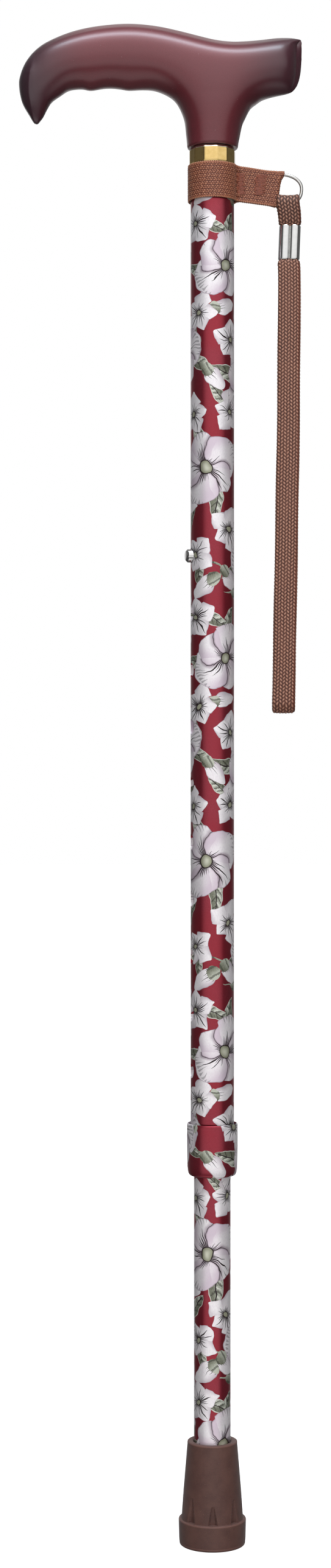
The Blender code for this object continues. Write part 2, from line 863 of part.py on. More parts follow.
def ring_side(t):
    """How far the ring's wire stands from its middle line, at t from the bar."""
    share = min(1.0, max(0.0, (t - RING_CORNER) / (RING_DEPTH - RING_CORNER)))
    return RING_HALF * (1 - share**RING_POWER) ** (1 / RING_POWER)


ring_line = [(0.0, s) for s in np.linspace(-RING_HALF + RING_CORNER, RING_HALF - RING_CORNER, 6)]
ring_line += [
    (
        RING_CORNER - RING_CORNER * math.cos(math.radians(a)),
        RING_HALF - RING_CORNER + RING_CORNER * math.sin(math.radians(a)),
    )
    for a in (30, 60, 90)
]
sweep = [
    (
        RING_CORNER + (RING_DEPTH - RING_CORNER) * math.sin(a) ** (2 / RING_POWER),
        RING_HALF * math.cos(a) ** (2 / RING_POWER),
    )
    for a in np.radians([22, 34, 45, 55, 64, 72, 80])
]
ring_line += [*sweep, (RING_DEPTH, 0.0), *[(t, -s) for t, s in sweep[::-1]]]
ring_line += [
    (
        RING_CORNER - RING_CORNER * math.cos(math.radians(a)),
        -(RING_HALF - RING_CORNER + RING_CORNER * math.sin(math.radians(a))),
    )
    for a in (90, 60, 30)
]
curve = bpy.data.curves.new("d_ring", "CURVE")
curve.dimensions = "3D"
curve.bevel_depth = WIRE_R * MM
curve.bevel_resolution = 3
wire = curve.splines.new("POLY")
wire.points.add(len(ring_line) - 1)
for point, (t, s) in zip(wire.points, ring_line):
    point.co = (t * MM, 0, s * MM, 1)
wire.use_cyclic_u = True
curve.materials.append(nickel)
d_ring = bpy.data.objects.new("d_ring", curve)
bpy.context.scene.collection.objects.link(d_ring)
d_ring.parent = ring_axis

# -------------------------------------------------------------- wrist cord
eye = in_ring(EYE_T, -ring_side(EYE_T))
strap_axis = empty("strap_axis", (0, 0, 0), parent=ring_axis)
home = Matrix.Translation(eye * MM)
# The strap's own frame stands upright on the ring's wire.
strap_axis.matrix_local = (
    Matrix.Translation(Vector((0, 0, -middle_z)) * MM)
    @ Matrix.Translation(ring_place)
    @ Matrix.Rotation(RING_LEAN, 4, "Y")
).inverted() @ Matrix.Translation((eye - Vector((0, 0, 2 * middle_z))) * MM)


def from_eye(points):
    return [(x - eye.x, y, z - eye.z) for x, y, z in points]


# Round the ring: up from the clamp, over the wire and down again.
over = [
    (eye.x, -2.62 * math.cos(math.radians(a)), eye.z + 2.62 * math.sin(math.radians(a)))
    for a in range(0, 181, 30)
]
eye_route = [
    (33.9, -1.5, CLAMP_Z[1] + GAP),
    (33.8, -1.75, 579.0),
    (33.4, -2.4, 582.5),
    *over,
    (33.4, 2.4, 582.5),
    (33.8, 1.75, 579.0),
    (33.9, 1.5, CLAMP_Z[1] + GAP),
]
eye_path = smooth_path(from_eye(eye_route), 27)
place(
    "cord_eye",
    loft(flat_sweep(eye_path, [5.8] * 27, [2.0] * 27)),
    braid_eye,
    parent=strap_axis,
    smooth=50,
)

# The hanging loop, whose two runs part a little towards the fold.
FOLD = 3.9
fold = [
    (31.1, -FOLD * math.cos(math.radians(a)), CORD_FOLD_Z + FOLD - FOLD * math.sin(math.radians(a)))
    for a in range(0, 181, 30)
]
front = [
    (33.4, -1.5, CLAMP_Z[0] - GAP),
    (33.65, -1.6, 555.0),
    (33.55, -2.2, 530.0),
    (33.2, -2.9, 489.0),
    (32.5, -3.5, 445.0),
    (31.8, -3.85, 405.0),
    (31.35, -3.95, 380.0),
]
cord_route = [*front, *fold, *[(x, -y, z) for x, y, z in front[::-1]]]
cord_path = smooth_path(from_eye(cord_route), 63)
place(
    "wrist_cord",
    loft(flat_sweep(cord_path, [CORD_WIDTH] * 63, [CORD_THICK] * 63)),
    braid,
    parent=strap_axis,
    smooth=50,
)

# Crimped sleeve: two round lobes side by side, squeezed shut round the cord.
LOBE_R, LOBE_X = 2.75, 1.95


def lobes(cx, z):
    ring = []
    for k in range(28):
        a = 2 * math.pi * k / 28
        # the further of the two lobes' surfaces in this direction
        best = 0.0
        for side in (-1, 1):
            b = side * LOBE_X * math.cos(a)
            inside = LOBE_R**2 - LOBE_X**2 + b**2
            if inside >= 0:
                best = max(best, b + math.sqrt(inside))
        ring.append(Vector((cx + best * math.cos(a), best * math.sin(a), z)))
    return ring


clamp_low, clamp_top = CLAMP_Z[0] - eye.z, CLAMP_Z[1] - eye.z
place(
    "cord_clamp",
    loft([lobes(33.4 - eye.x, clamp_low), lobes(33.95 - eye.x, clamp_top)]),
    sleeve,
    parent=strap_axis,
    smooth=40,
)
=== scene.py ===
"""The walking cane's looks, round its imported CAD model. Sizes are in millimetres until a mesh is made."""

import math

import bmesh
import bpy
import numpy as np
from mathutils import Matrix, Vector


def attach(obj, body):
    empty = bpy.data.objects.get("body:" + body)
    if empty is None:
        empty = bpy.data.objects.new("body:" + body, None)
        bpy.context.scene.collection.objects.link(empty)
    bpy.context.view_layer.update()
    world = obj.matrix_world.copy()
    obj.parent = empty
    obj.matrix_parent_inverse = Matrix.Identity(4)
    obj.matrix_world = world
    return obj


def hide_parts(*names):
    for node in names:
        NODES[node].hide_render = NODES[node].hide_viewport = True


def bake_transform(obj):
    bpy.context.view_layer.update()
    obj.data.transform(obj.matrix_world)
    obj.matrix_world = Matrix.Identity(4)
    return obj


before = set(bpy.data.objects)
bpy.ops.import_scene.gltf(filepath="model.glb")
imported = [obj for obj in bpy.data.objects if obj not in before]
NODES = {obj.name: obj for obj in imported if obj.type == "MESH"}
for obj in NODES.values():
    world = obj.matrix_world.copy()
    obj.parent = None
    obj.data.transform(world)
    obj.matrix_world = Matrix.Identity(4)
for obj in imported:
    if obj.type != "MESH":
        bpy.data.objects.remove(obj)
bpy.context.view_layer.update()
MM = 0.001
scene = bpy.context.scene
rng = np.random.default_rng(11)

# ------------------------------------------------------------------- camera
lens = bpy.data.cameras.new("camera")
lens.lens = 56.53
lens.sensor_width = 36
lens.sensor_fit = "AUTO"
lens.clip_start = 0.01
camera = bpy.data.objects.new("camera", lens)
camera.location = (-0.02047, -1.078, 0.3323)
camera.rotation_euler = (math.pi / 2, 0, 0)
scene.collection.objects.link(camera)
scene.camera = camera


# ------------------------------------------------------------------- meshes
def piece(name, points, faces, body=None, replaces=(), smooth=45, slot=None):
    """A mesh object from points in millimetres. It rides on body and stands for the nodes in replaces."""
    mesh = bpy.data.meshes.new(name)
    mesh.from_pydata((np.asarray(points, float) * MM).tolist(), [], [list(f) for f in faces])
    mesh.validate()
    mesh.polygons.foreach_set("use_smooth", [True] * len(mesh.polygons))
    if smooth < 180:
        mesh.set_sharp_from_angle(angle=math.radians(smooth))
    mesh.update()
    made = bpy.data.objects.new(name, mesh)
    scene.collection.objects.link(made)
    if body:
        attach(made, body)
    if replaces:
        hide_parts(*replaces)
    return made


def tube_faces(rows, count, start=0, close=False, caps=True):
    """Quads between rows rings of count points each, wound to face outward when the rings turn left about their way."""
    faces = []
    last = rows if close else rows - 1
    for i in range(last):
        a, b = start + i * count, start + ((i + 1) % rows) * count
        for k in range(count):
            n = (k + 1) % count
            faces.append((a + k, a + n, b + n, b + k))
    if caps and not close:
        faces.append(tuple(start + k for k in range(count))[::-1])
        faces.append(tuple(start + (rows - 1) * count + k for k in range(count)))
    return faces


def turned(profile, sides=128, start=0.0, radius_at=None):
    """Points and faces of a profile of (r, z), a closed line, turned about Z. A profile that starts and ends on the axis makes a solid without a bore."""
    points, faces = [], []
    rows = []
    for r, z in profile:
        if r < 1e-6:
            rows.append([len(points)])
            points.append((0, 0, z))
            continue
        rows.append(list(range(len(points), len(points) + sides)))
        for k in range(sides):
            a = start + 2 * math.pi * k / sides
            here = r if radius_at is None else radius_at(r, z, a)
            points.append((here * math.cos(a), here * math.sin(a), z))
    closed = profile[0][0] > 1e-6
    pairs = list(zip(rows, rows[1:])) + ([(rows[-1], rows[0])] if closed else [])
    for low, high in pairs:
        if len(low) == 1 and len(high) == 1:
            continue
        for k in range(sides):
            n = (k + 1) % sides
            if len(low) == 1:
                faces.append((low[0], high[n], high[k]))
            elif len(high) == 1:
                faces.append((low[k], low[n], high[0]))
            else:
                faces.append((low[k], low[n], high[n], high[k]))
    return points, faces


def rounded(corner, radius, start, end, steps=6):
    """Points of a round corner of the profile, from angle start to end, in degrees."""
    cx, cz = corner
    return [
        (
            cx + radius * math.cos(math.radians(start + (end - start) * k / steps)),
            cz + radius * math.sin(math.radians(start + (end - start) * k / steps)),
        )
        for k in range(steps + 1)
    ]


def cut(target, cutter, how="DIFFERENCE"):
    """Applies an exact boolean and removes the cutter."""
    change = target.modifiers.new("cut", "BOOLEAN")
    change.operation, change.object, change.solver = how, cutter, "EXACT"
    view = bpy.context.evaluated_depsgraph_get()
    made = bpy.data.meshes.new_from_object(target.evaluated_get(view))
    target.modifiers.clear()
    old = target.data
    target.data = made
    bpy.data.meshes.remove(old)
    bpy.data.objects.remove(cutter)


def smooth_again(target, angle=35):
    target.data.polygons.foreach_set("use_smooth", [True] * len(target.data.polygons))
    target.data.set_sharp_from_angle(angle=math.radians(angle))


def joined(*parts):
    """Several (points, faces) as one."""
    points, faces = [], []
    for p, f in parts:
        base = len(points)
        points.extend(tuple(q) for q in p)
        faces.extend(tuple(base + k for k in face) for face in f)
    return points, faces


def float_attribute(target, name, values):
    made = target.data.attributes.new(name, "FLOAT", "POINT")
    made.data.foreach_set("value", np.asarray(values, np.float32))


def smooth_path(points, count):
    """count points spread evenly along a Catmull-Rom curve through these."""
    p = np.array(points, float)
    p = np.vstack([2 * p[0] - p[1], p, 2 * p[-1] - p[-2]])
    fine = []
    for i in range(1, len(p) - 2):
        for t in np.linspace(0, 1, 48, endpoint=False):
            fine.append(
                0.5
                * (
                    2 * p[i]
                    + (p[i + 1] - p[i - 1]) * t
                    + (2 * p[i - 1] - 5 * p[i] + 4 * p[i + 1] - p[i + 2]) * t**2
                    + (3 * p[i] - p[i - 1] - 3 * p[i + 1] + p[i + 2]) * t**3
                )
            )
    fine = np.array([*fine, p[-2]])
    along = np.concatenate([[0], np.cumsum(np.linalg.norm(np.diff(fine, axis=0), axis=1))])
    at = np.linspace(0, along[-1], count)
    return np.stack([np.interp(at, along, fine[:, k]) for k in range(3)], axis=1)


def thread(line, radius, sides=8, closed=False):
    """Points and faces of a round thread along a line of points."""
    line = np.asarray(line, float)
    count = len(line)
    if closed:
        ahead = np.roll(line, -1, 0) - np.roll(line, 1, 0)
    else:
        ahead = np.gradient(line, axis=0)
    ahead /= np.linalg.norm(ahead, axis=1)[:, None]
    side = np.cross(ahead[0], (0.0, 1.0, 0.03))
    side /= np.linalg.norm(side)
    points = []
    radii = np.broadcast_to(radius, count)
    for i in range(count):
        side = side - ahead[i] * (side @ ahead[i])
        side /= np.linalg.norm(side)
        up = np.cross(ahead[i], side)
        for k in range(sides):
            a = 2 * math.pi * k / sides
            points.append(line[i] + radii[i] * (side * math.cos(a) + up * math.sin(a)))
    return points, tube_faces(count, sides, close=closed)


# ---------------------------------------------------------------- shader net
class Val:
    """A number or vector in a node tree, with Python's own operators."""

    def __init__(self, net, socket):
        self.net, self.socket = net, socket

    def __add__(self, other):
        return self.net.math("ADD", self, other)

    __radd__ = __add__

    def __sub__(self, other):
        return self.net.math("SUBTRACT", self, other)

    def __rsub__(self, other):
        return self.net.math("SUBTRACT", other, self)

    def __mul__(self, other):
        return self.net.math("MULTIPLY", self, other)

    __rmul__ = __mul__

    def __truediv__(self, other):
        return self.net.math("DIVIDE", self, other)

    def __rtruediv__(self, other):
        return self.net.math("DIVIDE", other, self)

    def __pow__(self, other):
        return self.net.math("POWER", self, other)

    def do(self, op, *others):
        return self.net.math(op, self, *others)

    def abs(self):
        return self.do("ABSOLUTE")

    def sin(self):
        return self.do("SINE")

    def cos(self):
        return self.do("COSINE")

    def frac(self):
        return self.do("FRACT")

    def floor(self):
        return self.do("FLOOR")

    def root(self):
        return self.do("SQRT")

    def low(self, other):
        return self.do("MINIMUM", other)

    def high(self, other):
        return self.do("MAXIMUM", other)

    def above(self, other):
        return self.do("GREATER_THAN", other)

    def below(self, other):
        return self.do("LESS_THAN", other)

    def ramp(self, a, b, low=0.0, high=1.0, soft=True):
        """low where this is a, high where it is b, and smooth between."""
        if b < a:
            a, b, low, high = b, a, high, low
        node = self.net.node("ShaderNodeMapRange", interpolation_type="SMOOTHSTEP" if soft else "LINEAR")
        node.clamp = True
        self.net.feed(node.inputs["Value"], self)
        for key, value in (("From Min", a), ("From Max", b), ("To Min", low), ("To Max", high)):
            self.net.feed(node.inputs[key], value)
        return Val(self.net, node.outputs["Result"])

    def parts(self):
        node = self.net.node("ShaderNodeSeparateXYZ")
        self.net.feed(node.inputs[0], self)
        return [Val(self.net, o) for o in node.outputs]

    def vec(self, op, other=None, third=None, scale=None):
        node = self.net.node("ShaderNodeVectorMath", operation=op)
        self.net.feed(node.inputs[0], self)
        if other is not None:
            self.net.feed(node.inputs[1], other)
        if third is not None:
            self.net.feed(node.inputs[2], third)
        if scale is not None:
            self.net.feed(node.inputs["Scale"], scale)
        return Val(self.net, node.outputs["Value" if op in ("LENGTH", "DISTANCE", "DOT_PRODUCT") else "Vector"])


class Net:
    """Writes a material's nodes from plain sums."""

    def __init__(self, name):
        self.material = bpy.data.materials.new(name)
        self.material.use_nodes = True
        self.tree = self.material.node_tree
        self.shader = self.tree.nodes["Principled BSDF"]
        self.kept = {}

    def node(self, kind, **settings):
        made = self.tree.nodes.new(kind)
        for key, value in settings.items():
            setattr(made, key, value)
        return made

    def feed(self, socket, value):
        if isinstance(value, Val):
            self.tree.links.new(value.socket, socket)
        elif socket.type == "RGBA" and len(value) == 3:
            socket.default_value = (*value, 1.0)
        else:
            socket.default_value = value

    def math(self, op, *values):
        made = self.node("ShaderNodeMath", operation=op)
        for socket, value in zip(made.inputs, values):
            self.feed(socket, value)
        return Val(self, made.outputs[0])

    def combine(self, x=0.0, y=0.0, z=0.0):
        made = self.node("ShaderNodeCombineXYZ")
        for socket, value in zip(made.inputs, (x, y, z)):
            self.feed(socket, value)
        return Val(self, made.outputs[0])

    def place(self):
        """The place on the object, in millimetres."""
        if "place" not in self.kept:
            made = self.node("ShaderNodeTexCoord")
            self.kept["place"] = Val(self, made.outputs["Object"]).vec("SCALE", scale=1000.0)
        return self.kept["place"]

    def attribute(self, name):
        made = self.node("ShaderNodeAttribute", attribute_name=name)
        return Val(self, made.outputs["Fac"])

    def noise(self, where, scale, detail=2.0, rough=0.5, colour=False, distortion=0.0):
        made = self.node("ShaderNodeTexNoise")
        self.feed(made.inputs["Vector"], where)
        made.inputs["Scale"].default_value = scale
        made.inputs["Detail"].default_value = detail
        made.inputs["Roughness"].default_value = rough
        made.inputs["Distortion"].default_value = distortion
        return Val(self, made.outputs["Color" if colour else "Fac"])

    def cells(self, where, scale, out="Distance", feature="F1", random=1.0):
        made = self.node("ShaderNodeTexVoronoi", feature=feature)
        self.feed(made.inputs["Vector"], where)
        made.inputs["Scale"].default_value = scale
        made.inputs["Randomness"].default_value = random
        return Val(self, made.outputs[out])

    def mix(self, share, a, b, kind="RGBA", blend="MIX"):
        made = self.node("ShaderNodeMix", data_type=kind)
        if kind == "RGBA":
            made.blend_type = blend
        made.clamp_factor = True
        offset = {"FLOAT": 2, "VECTOR": 4, "RGBA": 6}[kind]
        self.feed(made.inputs[0], share)
        self.feed(made.inputs[offset], a)
        self.feed(made.inputs[offset + 1], b)
        return Val(self, made.outputs[{"FLOAT": 0, "VECTOR": 1, "RGBA": 2}[kind]])

    def bump(self, height, distance, strength=1.0, below=None):
        made = self.node("ShaderNodeBump")
        made.inputs["Strength"].default_value = strength
        made.inputs["Distance"].default_value = distance * MM
        self.feed(made.inputs["Height"], height)
        if below is not None:
            self.feed(made.inputs["Normal"], below)
        return Val(self, made.outputs[0])

    def set(self, **values):
        for key, value in values.items():
            self.feed(self.shader.inputs[key.replace("_", " ")], value)


def rgb(r, g, b):
    """Linear values of a colour written from 0 to 255."""
    return tuple(
        (c / 255 / 12.92) if c <= 10.3 else ((c / 255 + 0.055) / 1.055) ** 2.4 for c in (r, g, b)
    )


# --------------------------------------------------------------- wrist cord
EYE = np.array([32.7205, 0.0, 586.0966])
CLAMP_LOW, CLAMP_TOP = 561.7, 576.6
FOLD, FOLD_Z = 3.9, 364.6
CORD_WIDTH = 9.3

over = [
    (EYE[0], -2.62 * math.cos(math.radians(a)), EYE[2] + 2.62 * math.sin(math.radians(a)))
    for a in range(180, -1, -30)
]
run = [
    (33.4, -1.2, 561.4),
    (33.65, -1.6, 555.0),
    (33.55, -2.2, 530.0),
    (33.2, -2.9, 489.0),
    (32.5, -3.5, 445.0),
    (31.8, -3.85, 405.0),
    (31.35, -3.95, 380.0),
]
fold = [
    (31.1, -FOLD * math.cos(math.radians(a)), FOLD_Z + FOLD - FOLD * math.sin(math.radians(a)))
    for a in range(0, 181, 30)
]
cord_route = [
    (33.72, 1.05, 570.2),
    (33.9, 1.15, 576.9),
    (33.8, 1.75, 579.0),
    (33.4, 2.4, 582.5),
    *over,
    (33.4, -2.4, 582.5),
    (33.8, -1.75, 579.0),
    (33.9, -1.15, 576.9),
    (33.66, -1.05, 569.0),
    *run,
    *fold,
    *[(x, -y, z) for x, y, z in run[::-1]],
    (33.6, 1.05, 567.6),
]
CORD_RINGS, CORD_AROUND = 1180, 84
cord_path = smooth_path(cord_route, CORD_RINGS)
cord_along = np.concatenate([[0], np.cumsum(np.linalg.norm(np.diff(cord_path, axis=0), axis=1))])


def braided_cord():
    """The flat braid: paired columns of slanting bumps, like arrows, all the way round."""
    ahead = np.gradient(cord_path, axis=0)
    ahead /= np.linalg.norm(ahead, axis=1)[:, None]
    side = np.array([1.0, 0.0, 0.0])
    inward = np.cross(side, ahead)
    inward /= np.linalg.norm(inward, axis=1)[:, None]
    z, y = cord_path[:, 2], cord_path[:, 1]
    top = np.clip((z - CLAMP_TOP) / 11.0, 0, 1)
    width = np.where(z > CLAMP_TOP, 9.2 + 0.3 * top**0.8, CORD_WIDTH + 0.15 * np.sin(z * 0.11 + np.sign(y)))
    thick = np.where(z > CLAMP_TOP, 1.85, 1.95)
    crimp = np.clip((z - CLAMP_LOW + 1.2) / 2.0, 0, 1) * np.clip((CLAMP_TOP + 1.2 - z) / 2.0, 0, 1)
    crimp = crimp**2 * (3 - 2 * crimp)
    width = width * (1 - crimp) + 6.0 * crimp
    thick = thick * (1 - crimp) + 1.2 * crimp
    around = np.arange(CORD_AROUND) / CORD_AROUND
    points = np.zeros((CORD_RINGS, CORD_AROUND, 3))
    rise = np.zeros((CORD_RINGS, CORD_AROUND))
    place_on = np.zeros((CORD_RINGS, CORD_AROUND))
    pairs = 8
    wander = 0.10 * np.sin(cord_along / 7.3) + 0.07 * np.sin(cord_along / 2.9 + 1.0)
    for i in range(CORD_RINGS):
        w, t = width[i], thick[i]
        flat = w - t
        perimeter = 2 * flat + math.pi * t
        p = around * perimeter
        # p starts in the middle of the outer face and goes round through +X
        u = np.zeros(CORD_AROUND)
        v = np.zeros(CORD_AROUND)
        nu = np.zeros(CORD_AROUND)
        nv = np.zeros(CORD_AROUND)
        first = p < flat / 2
        arc1 = (p >= flat / 2) & (p < flat / 2 + math.pi * t / 2)
        back = (p >= flat / 2 + math.pi * t / 2) & (p < 1.5 * flat + math.pi * t / 2)
        arc2 = (p >= 1.5 * flat + math.pi * t / 2) & (p < 1.5 * flat + math.pi * t)
        last = p >= 1.5 * flat + math.pi * t
        u[first], v[first], nv[first] = p[first], -t / 2, -1
        a = (p[arc1] - flat / 2) / (t / 2) - math.pi / 2
        u[arc1], v[arc1] = flat / 2 + t / 2 * np.cos(a), t / 2 * np.sin(a)
        nu[arc1], nv[arc1] = np.cos(a), np.sin(a)
        u[back] = flat / 2 - (p[back] - flat / 2 - math.pi * t / 2)
        v[back], nv[back] = t / 2, 1
        a = (p[arc2] - 1.5 * flat - math.pi * t / 2) / (t / 2) + math.pi / 2
        u[arc2], v[arc2] = -flat / 2 + t / 2 * np.cos(a), t / 2 * np.sin(a)
        nu[arc2], nv[arc2] = np.cos(a), np.sin(a)
        u[last], v[last], nv[last] = p[last] - perimeter, -t / 2, -1
        # a soft rounding over the whole width
        v = v + np.where(np.abs(nv) > 0.5, 0.16 * np.cos(np.clip(u / w, -0.5, 0.5) * math.pi) * np.sign(nv), 0)
        v = v * (1 - 0.55 * crimp[i] * np.exp(-((u / 0.9) ** 2)))
        s = cord_along[i]
        cell = (around * pairs - 0.02 * pairs + wander[i] * 0.12) % 1.0 - 0.5
        m = cell * (perimeter / pairs)
        half_cell = perimeter / pairs / 4
        off = np.abs(m) - half_cell
        pitch = 1.56
        ds = ((s + 0.62 * (np.abs(m) - 0.5)) / pitch + np.where(m > 0, 0.5, 0.0)) % 1.0 - 0.5
        bump = np.clip(1 - (off / 0.74) ** 2 - (ds * pitch / 0.76) ** 2, 0, 1) ** 0.5
        height = 0.34 * bump
        height = height * (1 - 0.8 * crimp[i]) - 0.02
        # over the ring the edges stand up
        cup = 0.0
        if z[i] > 581:
            lift = np.clip((z[i] - 581) / 6.5, 0, 1)
            cup = 0.75 * lift * (np.abs(u) / (w / 2)) ** 2.4
        at = (
            cord_path[i]
            + side * (u + nu * height + 0.38 * top[i])[:, None]
            + inward[i] * (v + nv * height)[:, None]
        )
        at = at - (inward[i][None, :] * np.asarray(cup).reshape(-1, 1) if np.ndim(cup) else 0)
        points[i] = at
        rise[i] = bump
        place_on[i] = u
    faces = tube_faces(CORD_RINGS, CORD_AROUND)
    made = piece("wrist_strap_braid", points.reshape(-1, 3), faces, "wrist_strap", ("cord_eye", "wrist_cord"), 180, "wrist_cord")
    float_attribute(made, "rise", rise.reshape(-1))
    float_attribute(made, "across", place_on.reshape(-1))
    return made


def clamp_sleeve():
    """Two rolled lobes side by side with the sheet's seam between them, open at both ends."""
    heights = np.concatenate([[0, 0.12, 0.3], np.linspace(0.6, 14.3, 22), [14.6, 14.78, 14.9]])
    around = 160
    points = []
    for shell in ("out", "in"):
        order = heights if shell == "out" else heights[::-1]
        for h in order:
            z = CLAMP_LOW + h
            cx = 33.4 + 0.55 * h / 14.9
            edge = min(h, 14.9 - h)
            trim = 0.16 * max(0.0, 1 - edge / 0.3) ** 2
            for k in range(around):
                a = 2 * math.pi * k / around
                r, mid, groove = 2.72, 1.97, 0.0
                best = 0.0
                for way in (-1, 1):
                    b = way * mid * math.cos(a)
                    inside = r**2 - mid**2 + b**2
                    if inside >= 0:
                        best = max(best, b + math.sqrt(inside))
                x, y = best * math.cos(a), best * math.sin(a)
                # the sheet's seam runs down the front valley, and behind there is a plain one
                groove = 0.0
                if y < 0:
                    groove = 0.36 * math.exp(-((x / 0.17) ** 2))
                wall = 0.0 if shell == "out" else 0.5
                scale = (math.hypot(x, y) - groove * abs(math.sin(a)) - wall - (trim if shell == "out" else -trim)) / math.hypot(x, y)
                rim = 0.0
                if h > 14.2:
                    rim = 0.28 * math.exp(-(((abs(x) - 2.0) / 1.3) ** 2)) - 0.1
                if h < 0.7:
                    rim = -0.12 * math.exp(-(((abs(x) - 2.0) / 1.3) ** 2)) + 0.04
                points.append((cx + x * scale, y * scale, z + rim))
    rows = 2 * len(heights)
    faces = tube_faces(rows, around, close=True)
    return piece("crimp_sleeve", points, faces, "wrist_strap", ("cord_clamp",), 50, "cord_clamp")


cord = braided_cord()
clamp = clamp_sleeve()


# ------------------------------------------------------------ floor, lights
scene.view_settings.view_transform = "Standard"


def make_stage():
    rings = [0.0, 0.2, 0.5, 1.0, 1.6, 2.4, 3.4, 5.0, 9.0]
    points, faces = [(0, 0, 0)], []
    for r in rings[1:]:
        for k in range(64):
            a = 2 * math.pi * k / 64
            points.append((1000 * r * math.cos(a), 1000 * r * math.sin(a), 0))
    for k in range(64):
        faces.append((0, 1 + k, 1 + (k + 1) % 64))
    for i in range(len(rings) - 2):
        for k in range(64):
            a, b = 1 + i * 64, 1 + (i + 1) * 64
            n = (k + 1) % 64
            faces.append((a + k, b + k, b + n, a + n))
    floor = piece("floor", points, faces)
    net = Net("floor")
    spots = net.noise(net.place(), 0.02, 3)
    net.set(Base_Color=net.mix(spots, (0.50, 0.50, 0.50), (0.55, 0.55, 0.55)), Roughness=0.9)
    net.shader.inputs["Specular IOR Level"].default_value = 0.0
    net.shader.inputs["Emission Color"].default_value = (1, 1, 1, 1)
    net.shader.inputs["Emission Strength"].default_value = 0.86
    floor.data.materials.append(net.material)
    # the bright floor is a backdrop: the light that it would throw up is in the world's own
    floor.visible_glossy = False
    floor.visible_diffuse = False
    floor.visible_shadow = False


